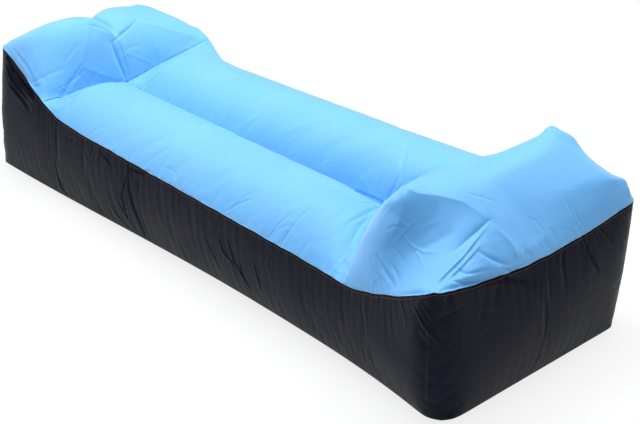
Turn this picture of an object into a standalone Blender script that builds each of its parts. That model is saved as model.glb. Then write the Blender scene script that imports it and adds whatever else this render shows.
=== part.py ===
# Inflatable air lounger: one long air chamber sewn from thin coated cloth, with two seat
# tubes, a raised head end of two lobes and a raised foot bolster. Inner webs hold the
# creases down. The mouth at the head end is rolled up and clipped into a ring.
# Metres, +Z up, +X towards the foot end, the near side at -Y, the origin on the floor
# under the middle of the body.

from math import acos, asin, atan2, cos, hypot, pi, radians, sin

import bmesh
import bpy
from mathutils import Vector

# Cloth and seams
clothWall = 0.0008
seamGap = 0.0003
weldDistance = 0.00001

# The floor outline
bodyLength = 2.20
endWidth = 0.71
waistWidth = 0.614
waistPlace = 0.30
headFloorRadius = 0.03
nearFootFloorRadius = 0.065
farFootFloorRadius = 0.030

# The seam between the black walls and the blue top
seatSeamHeight = 0.282
seatSeamSink = 0.015
nearHeadSeamHeight = 0.445
farHeadSeamHeight = 0.362
farHeadSeamRise = 0.055
nearFootSeamHeight = 0.408
farFootSeamHeight = 0.385
headSeamDip = 0.012
footSeamDip = 0.042
nearHeadClimbPlace = -0.60
farHeadClimbPlace = -0.62
nearHeadClimb = 0.45
farHeadClimb = 0.21
footClimbPlace = 0.74
headSeamWidth = 0.66
seatSeamWidth = 0.69
footSeamWidth = 0.785
headTopInset = 0.05
footTopOverhang = 0.01
headCornerRadius = 0.045
footCornerRadius = 0.030
sideBulge = 0.016
endBulge = 0.028

# The head lobes and the valley between them
headCreasePlace = -0.755
headCreaseHeight = 0.305
nearCrestPlace = -0.880
farCrestPlace = -0.960
nearLobeHeight = 0.532
farLobeHeight = 0.476
valleyHeight = 0.458
valleyShoulder = 0.080

# The two seat tubes and the groove between them
grooveHeight = 0.278
nearTubeHeadHeight = 0.368
farTubeHeadHeight = 0.354
nearTubeFootHeight = 0.374
farTubeFootHeight = 0.450
headShoulder = 0.09
nearFootShoulder = 0.160
farFootShoulder = 0.050

# The foot crease and the bolster
footCreasePlace = 0.53
nearCreaseSweep = 0.205
farCreaseSweep = 0.270
footCreaseHeight = 0.290
nearCreaseArch = 0.045
farCreaseArch = 0.060
ridgePlace = 0.868
ridgeHeight = 0.547
nearHip = 0.125
farHip = 0.040
nearHipSpread = 0.180
farHipSpread = 0.020

# Webs and their vents
ventRadius = 0.040
headVentRadius = 0.050
webMouthSetback = 0.12
ventOverrun = 0.12

# The mouth: its neck, its roll and the strips in it
mouthHeight = 0.200
neckLength = 0.060
neckBulge = 0.012
slitHalfHeight = 0.0017
pleatDepth = 0.004
ringRadius = 0.095
stripHeight = 0.024
stripThickness = 0.0012
rollGap = 0.0006

# The straps and the buckle
webbingWidth = 0.025
webbingThickness = 0.0015
barLength = 0.0035
barThickness = 0.0040
buckleThickness = 0.011
buckleSide = 0.0040
buckleCorner = 0.004
buckleEdge = 0.001
buckleClearance = 0.0006
socketMouth = 0.002
cavityDepth = 0.028
cavityWall = 0.003
cavityHeight = 0.0062
windowLength = 0.0105
backWall = 0.002
plugNose = 0.005
tongueWidth = 0.0040
tongueLength = 0.023
prongRoot = 0.0095
prongWidth = 0.0036
prongTip = 0.0026
prongThickness = 0.0050
shoulderReach = 0.0165
prongReach = 0.0265
hookDepth = 0.0055
hingeSetback = 0.0012
hingeRadius = 0.0016
hingeNeck = 0.0022
armGap = 0.0007
plugThickness = 0.009
cutOverrun = 0.002

# Angles and counts
creaseAngle = radians(70.0)
ringEndAngle = radians(140.0)
ringStep = radians(14.0)
headRows = 10
seatRows = 16
shoulderRows = 4
bolsterRows = 10
ridgeRow = 5
halfColumns = 10
cornerRows = 2
mouthRow = 2
mouthColumns = 5
neckRows = 5
pleatCount = 5
rollHalfTurns = 5
rollArcSteps = 3
ventSides = 16
wrapSteps = 12
rootSteps = 10

# Shares of the lengths that they follow, and powers that shape a run
wallShares = [0.0, 0.2, 0.4, 0.52, 0.76, 1.0]
footWidenPower = 3.0
footClimbPower = 1.55
seamWidenPower = 2.2
nearSweepPower = 1.17
farSweepPower = 3.6
nearLobeFrontPower = 1.5
farLobeFrontPower = 1.7
nearLobeBackPower = 1.15
farLobeBackPower = 3.0
nearLobeArchPower = 0.9
farLobeArchPower = 0.65
ridgeRoundShare = 0.15
frontSharpShare = 0.75
nearRearSharpShare = 0.4
middleRearSharpShare = 0.5
farRearSharpShare = 0.65
nearHipFlatShare = 0.6
farHipFlatShare = 0.0
shellLimit = 1.6
cornerBulgeShare = 0.35
hipTaperShare = 0.35
seatVentShares = [0.10, 0.36, 0.62, 0.88]
headVentShares = [-0.55, 0.55]
footVentShares = [-0.6, -0.2, 0.2, 0.6]
ventHeightShare = 0.5
mouthVentShare = 0.55

# Measures worked out from those above
halfLength = bodyLength / 2
buckleHalfWidth = webbingWidth / 2 + buckleClearance + buckleSide
wrapRadius = hypot(barLength, barThickness) / 2 + seamGap
slotLength = wrapRadius + webbingThickness + buckleClearance - barLength / 2
socketBack = cavityDepth + backWall + slotLength + barLength
plugBase = socketMouth + seamGap
plugBack = plugBase + plugNose + slotLength + barLength
rollStart = stripThickness + rollGap / 2 + rollGap + clothWall
rollPitch = 2 * clothWall + rollGap
rollReach = rollStart + rollPitch * rollHalfTurns / 2 + clothWall
ringOuter = ringRadius + rollReach


def clearScene():
    for item in list(bpy.data.objects):
        bpy.data.objects.remove(item, do_unlink=True)


def clothMaterial(name, colour, roughness):
    material = bpy.data.materials.new(name)
    material.use_nodes = True
    shader = material.node_tree.nodes["Principled BSDF"]
    shader.inputs["Base Color"].default_value = (*colour, 1.0)
    shader.inputs["Roughness"].default_value = roughness
    shader.inputs["Metallic"].default_value = 0.0
    return material


def addEmpty(name, place):
    empty = bpy.data.objects.new(name, None)
    empty.location = place
    bpy.context.scene.collection.objects.link(empty)
    return empty


def addObject(name, mesh, material, parent, place):
    obj = bpy.data.objects.new(name, mesh)
    obj.location = place
    obj.parent = parent
    mesh.materials.append(material)
    bpy.context.scene.collection.objects.link(obj)
    return obj


def meshFrom(name, bm):
    bmesh.ops.recalc_face_normals(bm, faces=bm.faces[:])
    mesh = bpy.data.meshes.new(name)
    bm.to_mesh(mesh)
    bm.free()
    return mesh


def smoothShare(value):
    share = min(max(value, 0.0), 1.0)
    return share * share * (3.0 - 2.0 * share)


# The height of a blown-up arch at a share of the way from its crest to its foot
def archShare(value):
    share = min(abs(value), 1.0)
    return (cos(creaseAngle * share) - cos(creaseAngle)) / (1.0 - cos(creaseAngle))


# Columns lie closer together at the edges of an arch, where the cloth turns down
def columnShare(column):
    turn = creaseAngle * (2.0 * column / halfColumns - 1.0)
    return (1.0 + sin(turn) / sin(creaseAngle)) / 2.0


def columnArch(column):
    return archShare(2.0 * column / halfColumns - 1.0)


def floorHalfWidth(x):
    if x < waistPlace:
        widen = smoothShare((waistPlace - x) / (waistPlace + halfLength))
    else:
        widen = ((x - waistPlace) / (halfLength - waistPlace)) ** footWidenPower
    return (waistWidth + (endWidth - waistWidth) * widen) / 2


def seamHalfWidth(x):
    toHead = smoothShare((headCreasePlace - x) / (headCreasePlace + halfLength))
    toFoot = max(0.0, (x - footCreasePlace) / (halfLength - footCreasePlace)) ** seamWidenPower
    headPart = toHead * (headSeamWidth - seatSeamWidth)
    footPart = toFoot * (footSeamWidth - seatSeamWidth)
    return (seatSeamWidth + headPart + footPart) / 2


def seamHeight(x, side):
    footHeight = nearFootSeamHeight if side < 0 else farFootSeamHeight
    headPlace = nearHeadClimbPlace if side < 0 else farHeadClimbPlace
    headHeight = nearHeadSeamHeight
    if side > 0:
        inward = (x + halfLength) / (farHeadClimbPlace + halfLength)
        headHeight = farHeadSeamHeight + farHeadSeamRise * inward
    headClimb = smoothShare((headPlace - x) / (nearHeadClimb if side < 0 else farHeadClimb))
    footClimb = max(0.0, (x - footClimbPlace) / (halfLength - footClimbPlace)) ** footClimbPower
    along = (x - headPlace) / (footClimbPlace - headPlace)
    low = seatSeamHeight - seatSeamSink * min(max(along, 0.0), 1.0)
    return low + (headHeight - low) * headClimb + (footHeight - low) * footClimb


floorLevel = {
    "headX": -halfLength,
    "footX": halfLength,
    "headRadius": headFloorRadius,
    "footRadius": {-1: nearFootFloorRadius, 1: farFootFloorRadius},
    "halfWidth": floorHalfWidth,
}
seamLevel = {
    "headX": -halfLength + headTopInset,
    "footX": halfLength + footTopOverhang,
    "headRadius": headCornerRadius,
    "footRadius": {-1: footCornerRadius, 1: footCornerRadius},
    "halfWidth": seamHalfWidth,
}


# A corner arc's point and outward direction, from 0 on the long side to a right angle on the end
def cornerPoint(level, end, side, angle):
    radius = level["headRadius"] if end < 0 else level["footRadius"][side]
    centreX = level["headX"] + radius if end < 0 else level["footX"] - radius
    centreY = level["halfWidth"](centreX) - radius
    outward = Vector((end * sin(angle), side * cos(angle), 0.0))
    return Vector((centreX, side * centreY, 0.0)) + radius * outward, outward


# Station places along the long side, in rows from the head corner to the foot corner
def sideStation(level, side, row):
    lastRow = headRows + seatRows + bolsterRows
    if row < cornerRows:
        return cornerPoint(level, -1, side, (cornerRows - row) * pi / 4 / cornerRows)
    if row > lastRow - cornerRows:
        return cornerPoint(level, 1, side, (row - lastRow + cornerRows) * pi / 4 / cornerRows)
    headStart = level["headX"] + level["headRadius"]
    footEnd = level["footX"] - level["footRadius"][side]
    x = longPlace(row, headStart, footCreaseAt(side, 1.0), footEnd, cornerRows)
    return Vector((x, side * level["halfWidth"](x), 0.0)), Vector((0.0, side, 0.0))


# The place along X of a row, between a start, the two creases and an end
def longPlace(row, start, footCrease, finish, skipped):
    seatStart = headRows
    seatEnd = headRows + seatRows
    if row <= seatStart:
        share = (row - skipped) / (seatStart - skipped)
        return start + (headCreasePlace - start) * share
    if row <= seatEnd:
        return seatPlace(row - seatStart, footCrease)
    bolsterRow = row - seatEnd
    if bolsterRow <= ridgeRow:
        return footCrease + (ridgePlace - footCrease) * bolsterRow / ridgeRow
    share = (bolsterRow - ridgeRow) / (bolsterRows - skipped - ridgeRow)
    return ridgePlace + (finish - ridgePlace) * share


def seatPlace(row, footCrease):
    if row <= shoulderRows:
        return headCreasePlace + headShoulder * row / shoulderRows
    if row >= seatRows - shoulderRows:
        return footCrease - nearFootShoulder * (seatRows - row) / shoulderRows
    start = headCreasePlace + headShoulder
    finish = footCrease - nearFootShoulder
    return start + (finish - start) * (row - shoulderRows) / (seatRows - 2 * shoulderRows)


def endStation(level, end, side, column):
    if column < cornerRows:
        return cornerPoint(level, end, side, pi / 4 + column * pi / 4 / cornerRows)
    corner, outward = cornerPoint(level, end, side, pi / 2)
    first = columnShare(cornerRows)
    share = (columnShare(column) - first) / (1.0 - first)
    return Vector((corner.x, corner.y * (1.0 - share), 0.0)), Vector((end, 0.0, 0.0))


def sideSeamPoint(side, row):
    point, outward = sideStation(seamLevel, side, row)
    point.z = seamHeight(point.x, side)
    return point


def endSeamPoint(end, side, column):
    corner, outward = cornerPoint(seamLevel, end, side, pi / 4)
    point, outward = endStation(seamLevel, end, side, column)
    dip = headSeamDip if end < 0 else footSeamDip
    cornerHeight = seamHeight(corner.x, side)
    centreHeight = (seamHeight(corner.x, -1) + seamHeight(corner.x, 1)) / 2 - dip
    share = (point.y / corner.y) ** 2
    point.z = centreHeight + (cornerHeight - centreHeight) * share
    return point


# A black wall from the floor outline up to the seam, swollen between them
def wallPoint(floorStation, seamPoint, bulge, height):
    floorPoint, outward = floorStation
    point = floorPoint.lerp(seamPoint, height)
    return point + outward * bulge * sin(pi * height)


def sideWall(side):
    lastRow = headRows + seatRows + bolsterRows
    rows = []
    for row in range(lastRow + 1):
        atCorner = row < cornerRows or row > lastRow - cornerRows
        bulge = sideBulge * cornerBulgeShare if atCorner else sideBulge
        station = sideStation(floorLevel, side, row)
        seamPoint = sideSeamPoint(side, row)
        rows.append([wallPoint(station, seamPoint, bulge, share) for share in wallShares])
    return rows


def endWall(end):
    rows = []
    for side, column in acrossColumns():
        swell = archShare(1.0 - columnShare(column))
        bulge = endBulge * swell + sideBulge * cornerBulgeShare * (1.0 - swell)
        station = endStation(floorLevel, end, side, column)
        seamPoint = endSeamPoint(end, side, column)
        rows.append([wallPoint(station, seamPoint, bulge, share) for share in wallShares])
    return rows


# Columns from the near corner over the middle to the far corner
def acrossColumns():
    near = [(-1, column) for column in range(halfColumns + 1)]
    far = [(1, column) for column in range(halfColumns - 1, -1, -1)]
    return near + far


def headCreaseLine(side):
    edge = sideSeamPoint(side, headRows)
    middle = Vector((headCreasePlace, 0.0, headCreaseHeight))
    return [edge.lerp(middle, columnShare(column)) for column in range(halfColumns + 1)]


def footCreaseLine(side):
    edge = sideSeamPoint(side, headRows + seatRows)
    points = []
    for column in range(halfColumns + 1):
        share = 1.0 - columnShare(column)
        level = footCreaseHeight + (edge.z - footCreaseHeight) * share
        z = level + footCreaseArch(side) * sin(pi * share)
        points.append(Vector((footCreaseAt(side, share), edge.y * share, z)))
    return points


def footCreaseAt(side, share):
    sweep = nearCreaseSweep if side < 0 else farCreaseSweep
    power = nearSweepPower if side < 0 else farSweepPower
    return footCreasePlace + sweep * (1.0 - (1.0 - share) ** power)


def footCreaseArch(side):
    return nearCreaseArch if side < 0 else farCreaseArch


def headMiddleLine():
    start = endSeamPoint(-1, -1, halfColumns)
    points = []
    for row in range(headRows + 1):
        x = start.x + (headCreasePlace - start.x) * row / headRows
        drop = 1.0 - min((headCreasePlace - x) / valleyShoulder, 1.0)
        rise = (valleyHeight - headCreaseHeight) * archShare(drop)
        fromEnd = smoothShare((x - start.x) / valleyShoulder)
        z = headCreaseHeight + rise - (valleyHeight - start.z) * (1.0 - fromEnd)
        points.append(Vector((x, 0.0, z)))
    return points


def seatMiddleLine():
    points = []
    for row in range(seatRows + 1):
        x = seatPlace(row, footCreasePlace)
        fromHead = smoothShare((x - headCreasePlace) / headShoulder)
        fromFoot = smoothShare((footCreasePlace - x) / nearFootShoulder)
        headPart = (headCreaseHeight - grooveHeight) * (1.0 - fromHead)
        footPart = (footCreaseHeight - grooveHeight) * (1.0 - fromFoot)
        points.append(Vector((x, 0.0, grooveHeight + headPart + footPart)))
    return points


def bolsterMiddleLine():
    start = footCreaseLine(-1)[-1]
    finish = endSeamPoint(1, -1, halfColumns)
    points = []
    for row in range(bolsterRows + 1):
        x = longPlace(headRows + seatRows + row, start.x, start.x, finish.x, 0)
        z = start.z + (finish.z - start.z) * row / bolsterRows
        points.append(Vector((x, 0.0, z)))
    return points


# How far each point of a line has come along one axis, as shares of the whole way
def lineShares(points, axis):
    first = points[0][axis]
    last = points[-1][axis]
    return [(point[axis] - first) / (last - first) for point in points]


# A patch spanned between four edge lines, before it is blown up
def spannedPatch(start, finish, edge, middle):
    rows = len(edge) - 1
    edgeShares = lineShares(edge, 0)
    middleShares = lineShares(middle, 0)
    startShares = lineShares(start, 1)
    finishShares = lineShares(finish, 1)
    patch = []
    for row in range(rows + 1):
        line = []
        for column in range(halfColumns + 1):
            along = edgeShares[row] + (middleShares[row] - edgeShares[row]) * columnShare(column)
            across = startShares[column] + (finishShares[column] - startShares[column]) * along
            point = start[column].lerp(finish[column], along) + edge[row].lerp(middle[row], across)
            nearCorner = start[0].lerp(finish[0], along)
            middleCorner = start[-1].lerp(finish[-1], along)
            line.append(point - nearCorner.lerp(middleCorner, across))
        patch.append(line)
    return patch


def headLobe(side):
    start = [endSeamPoint(-1, side, column) for column in range(halfColumns + 1)]
    edge = [sideSeamPoint(side, row) for row in range(headRows + 1)]
    middle = headMiddleLine()
    patch = spannedPatch(start, headCreaseLine(side), edge, middle)
    crest = nearLobeHeight if side < 0 else farLobeHeight
    crestPlace = nearCrestPlace if side < 0 else farCrestPlace
    backPower = nearLobeBackPower if side < 0 else farLobeBackPower
    frontPower = nearLobeFrontPower if side < 0 else farLobeFrontPower
    archPower = nearLobeArchPower if side < 0 else farLobeArchPower
    for row in range(headRows + 1):
        x = middle[row].x
        endRow = 0 if x < crestPlace else headRows
        away = (x - crestPlace) / (middle[endRow].x - crestPlace)
        foot = (edge[endRow].z + middle[endRow].z) / 2
        mean = (edge[row].z + middle[row].z) / 2
        fullness = archShare(away ** (frontPower if endRow else backPower))
        rise = max(foot + (crest - foot) * fullness - mean, 0.0)
        for column in range(halfColumns + 1):
            patch[row][column].z += rise * columnArch(column) ** archPower
    return patch


def seatTube(side):
    edge = [sideSeamPoint(side, headRows + row) for row in range(seatRows + 1)]
    middle = seatMiddleLine()
    patch = spannedPatch(headCreaseLine(side), footCreaseLine(side), edge, middle)
    headHeight = nearTubeHeadHeight if side < 0 else farTubeHeadHeight
    footHeight = nearTubeFootHeight if side < 0 else farTubeFootHeight
    footShoulder = nearFootShoulder if side < 0 else farFootShoulder
    for row in range(seatRows + 1):
        share = row / seatRows
        crest = headHeight + (footHeight - headHeight) * share
        fromHead = (middle[row].x - headCreasePlace) / headShoulder
        fromFoot = (footCreasePlace - middle[row].x) / footShoulder
        ends = archShare(1.0 - min(fromHead, 1.0)) * archShare(1.0 - min(fromFoot, 1.0))
        mean = (edge[row].z + middle[row].z) / 2 + footCreaseArch(side) * share
        rise = (crest - mean) * ends
        for column in range(halfColumns + 1):
            patch[row][column].z += rise * columnArch(column)
    return patch


# The bolster has one ridge across, with a hip that falls to the seam at each side
def bolsterHalf(side):
    firstRow = headRows + seatRows
    edge = [sideSeamPoint(side, firstRow + row) for row in range(bolsterRows + 1)]
    finish = [endSeamPoint(1, side, column) for column in range(halfColumns + 1)]
    middle = bolsterMiddleLine()
    ends = (edge[ridgeRow], middle[ridgeRow])
    ridge = [ends[0].lerp(ends[1], columnShare(column)) for column in range(halfColumns + 1)]
    front = spannedPatch(footCreaseLine(side), ridge, edge[: ridgeRow + 1], middle[: ridgeRow + 1])
    rear = spannedPatch(ridge, finish, edge[ridgeRow:], middle[ridgeRow:])
    patch = front + rear[1:]
    for row in range(bolsterRows + 1):
        away = (row - ridgeRow) / (ridgeRow if row < ridgeRow else bolsterRows - ridgeRow)
        for column in range(halfColumns + 1):
            point = patch[row][column]
            fall = hipFall(side, away, abs(edge[row].y - point.y))
            slope = ridgeSlope(side, away, columnShare(column))
            point.z += (ridgeHeight - point.z) * slope * fall
    return patch


# How much of its full height the bolster has at a way in from its side edge
def hipFall(side, away, inward):
    reach = nearHip if side < 0 else farHip
    reach *= hipTaperShare + (1.0 - hipTaperShare) * (1.0 - abs(away))
    flat = 0.0
    if away > 0:
        reach += (nearHipSpread if side < 0 else farHipSpread) * sin(pi * away)
        flat = nearHipFlatShare if side < 0 else farHipFlatShare
    across = min(inward / reach, 1.0)
    return flat * across + (1.0 - flat) * archShare(1.0 - across)


# The bolster's slope before and behind its ridge, part straight and part arched
def ridgeSlope(side, away, across):
    sharp = frontSharpShare
    if away > 0:
        edgeSharp = nearRearSharpShare if side < 0 else farRearSharpShare
        sharp = edgeSharp + (middleRearSharpShare - edgeSharp) * across
    rounded = hypot(away, ridgeRoundShare) - ridgeRoundShare
    straight = 1.0 - rounded / (hypot(1.0, ridgeRoundShare) - ridgeRoundShare)
    return sharp * straight + (1.0 - sharp) * archShare(away)


# The neck runs from the slot in the head end panel to the ring, pleated as it is gathered
def neckLoops(headWall):
    firstColumn = halfColumns - mouthColumns
    lastColumn = halfColumns + mouthColumns
    columns = range(firstColumn, lastColumn + 1)
    wallX = headWall[halfColumns][mouthRow].x
    ringCentre = wallX - neckLength - ringOuter - seamGap
    loops = []
    for step in range(neckRows + 1):
        share = step / neckRows
        upper = []
        lower = []
        for place, column in enumerate(columns):
            angle = (place - mouthColumns) * ringStep
            swell = sin(pi * share) ** 2
            pleat = pleatDepth * swell * cos(pleatCount * pi * place / mouthColumns)
            outer = ringOuter + clothWall + seamGap
            target = Vector((ringCentre + outer * cos(angle), outer * sin(angle), mouthHeight))
            for line, wallRow, sign in ((upper, mouthRow + 1, 1), (lower, mouthRow, -1)):
                goal = target + Vector((0.0, 0.0, sign * slitHalfHeight))
                point = headWall[column][wallRow].lerp(goal, smoothShare(share))
                point.x += (goal.x - headWall[column][wallRow].x) * (share - smoothShare(share))
                point.z += sign * neckBulge * swell + pleat
                line.append(point)
        loops.append(upper + lower[::-1])
    return loops, ringCentre


def addGridFaces(bm, panelLayer, panel, rows, skipped):
    grid = [[bm.verts.new(point) for point in line] for line in rows]
    for row in range(len(rows) - 1):
        for column in range(len(rows[0]) - 1):
            if (row, column) in skipped:
                continue
            first = (grid[row][column], grid[row + 1][column])
            second = (grid[row + 1][column + 1], grid[row][column + 1])
            bm.faces.new(first + second)[panelLayer] = panel


panelNames = [
    "head_lobe_near",
    "head_lobe_far",
    "seat_tube_near",
    "seat_tube_far",
    "foot_bolster",
    "side_panel_near",
    "side_panel_far",
    "head_end_panel",
    "foot_end_panel",
    "bottom_panel",
    "mouth_neck",
]


# One skin of the whole body, each face marked with its panel, welded where panels meet
def buildSkin():
    bm = bmesh.new()
    panelLayer = bm.faces.layers.int.new("panel")
    panelOf = {name: number for number, name in enumerate(panelNames)}
    patches = [
        ("head_lobe_near", headLobe(-1)),
        ("head_lobe_far", headLobe(1)),
        ("seat_tube_near", seatTube(-1)),
        ("seat_tube_far", seatTube(1)),
        ("foot_bolster", bolsterHalf(-1)),
        ("foot_bolster", bolsterHalf(1)),
        ("side_panel_near", sideWall(-1)),
        ("side_panel_far", sideWall(1)),
        ("foot_end_panel", endWall(1)),
    ]
    for name, rows in patches:
        addGridFaces(bm, panelLayer, panelOf[name], rows, ())
    headWall = endWall(-1)
    shifts = range(-mouthColumns, mouthColumns)
    mouthFaces = [(halfColumns + shift, mouthRow) for shift in shifts]
    addGridFaces(bm, panelLayer, panelOf["head_end_panel"], headWall, mouthFaces)
    loops, ringCentre = neckLoops(headWall)
    addGridFaces(bm, panelLayer, panelOf["mouth_neck"], [loop + loop[:1] for loop in loops], ())
    outline = floorOutline()
    bm.faces.new([bm.verts.new(point) for point in outline])[panelLayer] = panelOf["bottom_panel"]
    bmesh.ops.remove_doubles(bm, verts=bm.verts[:], dist=weldDistance)
    # Both faces of the cloth are split along the same lines, so that a warped patch keeps its wall
    bmesh.ops.triangulate(bm, faces=bm.faces[:], quad_method="BEAUTY", ngon_method="BEAUTY")
    bmesh.ops.recalc_face_normals(bm, faces=bm.faces[:])
    bm.normal_update()
    bm.verts.index_update()
    return bm, ringCentre


def floorOutline():
    lastRow = headRows + seatRows + bolsterRows
    near = [sideStation(floorLevel, -1, row)[0] for row in range(lastRow + 1)]
    far = [sideStation(floorLevel, 1, row)[0] for row in range(lastRow, -1, -1)]
    foot = [endStation(floorLevel, 1, side, column)[0] for side, column in acrossColumns()]
    head = [endStation(floorLevel, -1, side, column)[0] for side, column in acrossColumns()]
    return near + foot[1:-1] + far + head[-2:0:-1]


def onFloor(vert):
    return vert.co.z < weldDistance


# The inner face of the cloth at a corner of the skin
def innerPoint(vert):
    if not onFloor(vert):
        return vert.co - vert.normal * min(vert.calc_shell_factor(), shellLimit) * clothWall
    inward = -Vector((vert.normal.x, vert.normal.y, 0.0)).normalized()
    return vert.co + (inward + Vector((0.0, 0.0, 1.0))) * clothWall


# Half the seam gap, drawn back from the edge of a panel
def drawBack(vert, edges, panelFaces):
    pulls = []
    for edge in edges:
        loop = next(item for item in edge.link_loops if item.face in panelFaces)
        run = loop.link_loop_next.vert.co - loop.vert.co
        plane = loop.face.normal if onFloor(vert) else vert.normal
        pulls.append(plane.cross(run).normalized())
    if len(pulls) == 1:
        return pulls[0] * seamGap / 2
    share = 1.0 + pulls[0].dot(pulls[1])
    return (pulls[0] + pulls[1]) * seamGap / 2 / share


def panelMesh(skin, name):
    panelLayer = skin.faces.layers.int["panel"]
    number = panelNames.index(name)
    panelFaces = {face for face in skin.faces if face[panelLayer] == number}
    rim = {}
    for face in panelFaces:
        for edge in face.edges:
            if sum(item in panelFaces for item in edge.link_faces) == 1:
                for vert in edge.verts:
                    rim.setdefault(vert, set()).add(edge)
    bm = bmesh.new()
    outer = {}
    inner = {}
    for face in sorted(panelFaces, key=lambda item: item.index):
        for vert in face.verts:
            if vert in outer:
                continue
            shift = Vector()
            if vert in rim:
                edges = sorted(rim[vert], key=lambda item: item.index)[:2]
                shift = drawBack(vert, edges, panelFaces)
            outer[vert] = bm.verts.new(vert.co + shift)
            inner[vert] = bm.verts.new(innerPoint(vert) + shift)
    for face in sorted(panelFaces, key=lambda item: item.index):
        bm.faces.new([outer[vert] for vert in face.verts])
        bm.faces.new([inner[vert] for vert in reversed(face.verts)])
        for loop in face.loops:
            if sum(item in panelFaces for item in loop.edge.link_faces) == 1:
                addRimFaces(bm, outer, inner, loop.vert, loop.link_loop_next.vert)
    return meshFrom(name, bm)


# Two panels that meet split the cut edge of their cloth along the same lines
def addRimFaces(bm, outer, inner, first, second):
    if first.index < second.index:
        bm.faces.new((outer[second], outer[first], inner[second]))
        bm.faces.new((outer[first], inner[first], inner[second]))
    else:
        bm.faces.new((outer[second], outer[first], inner[first]))
        bm.faces.new((outer[second], inner[first], inner[second]))


def addPanels(skin, body, blue, black):
    for name in panelNames:
        material = blue if name.startswith(("head_lobe", "seat", "foot_bolster")) else black
        mesh = panelMesh(skin, name)
        mesh.shade_smooth()
        mesh.set_sharp_from_angle(angle=creaseAngle / 2)
        addObject(name, mesh, material, body, Vector())


# The inner face of the skin nearest to a given place on its outside
def innerAt(skin, place):
    vert = min(skin.verts, key=lambda item: (item.co - place).length_squared)
    return innerPoint(vert)


# Both faces of a web are split along the same lines, so that a curved web keeps its wall
def webMesh(name, columns, across):
    bm = bmesh.new()
    front = [[bm.verts.new(point + across) for point in line] for line in columns]
    back = [[bm.verts.new(point - across) for point in line] for line in columns]
    for column in range(len(columns) - 1):
        for row in range(len(columns[0]) - 1):
            for grid in (front, back):
                first = grid[column][row]
                opposite = grid[column + 1][row + 1]
                bm.faces.new((first, grid[column + 1][row], opposite))
                bm.faces.new((first, opposite, grid[column][row + 1]))
    last = len(columns[0]) - 1
    for column in range(len(columns) - 1):
        for row in (0, last):
            near = [front[column][row], front[column + 1][row]]
            bm.faces.new(near + [back[column + 1][row], back[column][row]])
    for row in range(last):
        for column in (0, len(columns) - 1):
            near = [front[column][row], front[column][row + 1]]
            bm.faces.new(near + [back[column][row + 1], back[column][row]])
    return meshFrom(name, bm)


# Round vents let the air pass from one side of a web to the other
def cutVents(obj, places, radius, alongY):
    bm = bmesh.new()
    for place in places:
        made = bmesh.ops.create_cone(
            bm, cap_ends=True, segments=ventSides, radius1=radius, radius2=radius, depth=2 * ventOverrun
        )
        for vert in made["verts"]:
            x, y, z = vert.co
            lying = Vector((x, -z, y)) if alongY else Vector((z, y, -x))
            vert.co = lying + place
    addCutter(obj, meshFrom(obj.name + "_vents", bm), "DIFFERENCE")


# A hidden tool object and the modifier that uses it
def addCutter(obj, mesh, operation):
    tool = bpy.data.objects.new(mesh.name, mesh)
    tool.hide_render = True
    tool.display_type = "WIRE"
    tool.location = obj.location
    tool.parent = obj.parent
    bpy.context.scene.collection.objects.link(tool)
    cut = obj.modifiers.new(mesh.name, "BOOLEAN")
    cut.operation = operation
    cut.object = tool
    cut.solver = "EXACT"


# A web that stands along the body, under a line of the skin
def lengthwiseColumns(tops, startX, endX):
    low = clothWall + seamGap
    kept = [top for top in tops if startX < top.x < endX]
    first = pointOnLine(tops, startX)
    last = pointOnLine(tops, endX)
    columns = []
    for top in [first] + kept + [last]:
        middle = (low + top.z - seamGap) / 2
        heights = (low, middle, top.z - seamGap)
        columns.append([Vector((top.x, 0.0, height)) for height in heights])
    return columns


def pointOnLine(points, x):
    for first, second in zip(points, points[1:]):
        if first.x <= x <= second.x:
            return first.lerp(second, (x - first.x) / (second.x - first.x))
    return points[0] if x < points[0].x else points[-1]


# A web that stands across the body, under a crease and between the side panels
def crosswiseColumns(skin, creaseLine, wallRow):
    low = clothWall + seamGap
    reach = clothWall + seamGap
    columns = []
    for side, column in acrossColumns():
        line = creaseLine(side)
        top = innerAt(skin, line[column])
        share = abs(line[column].y / line[0].y)
        wall = [innerAt(skin, point) for point in sideWall(side)[wallRow]]
        points = []
        for heightShare, wallPoint in zip(wallShares, wall):
            y = side * share * (abs(wallPoint.y) - 2 * seamGap)
            points.append(Vector((line[column].x, y, low + (top.z - reach - low) * heightShare)))
        columns.append(points)
    return columns


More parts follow.
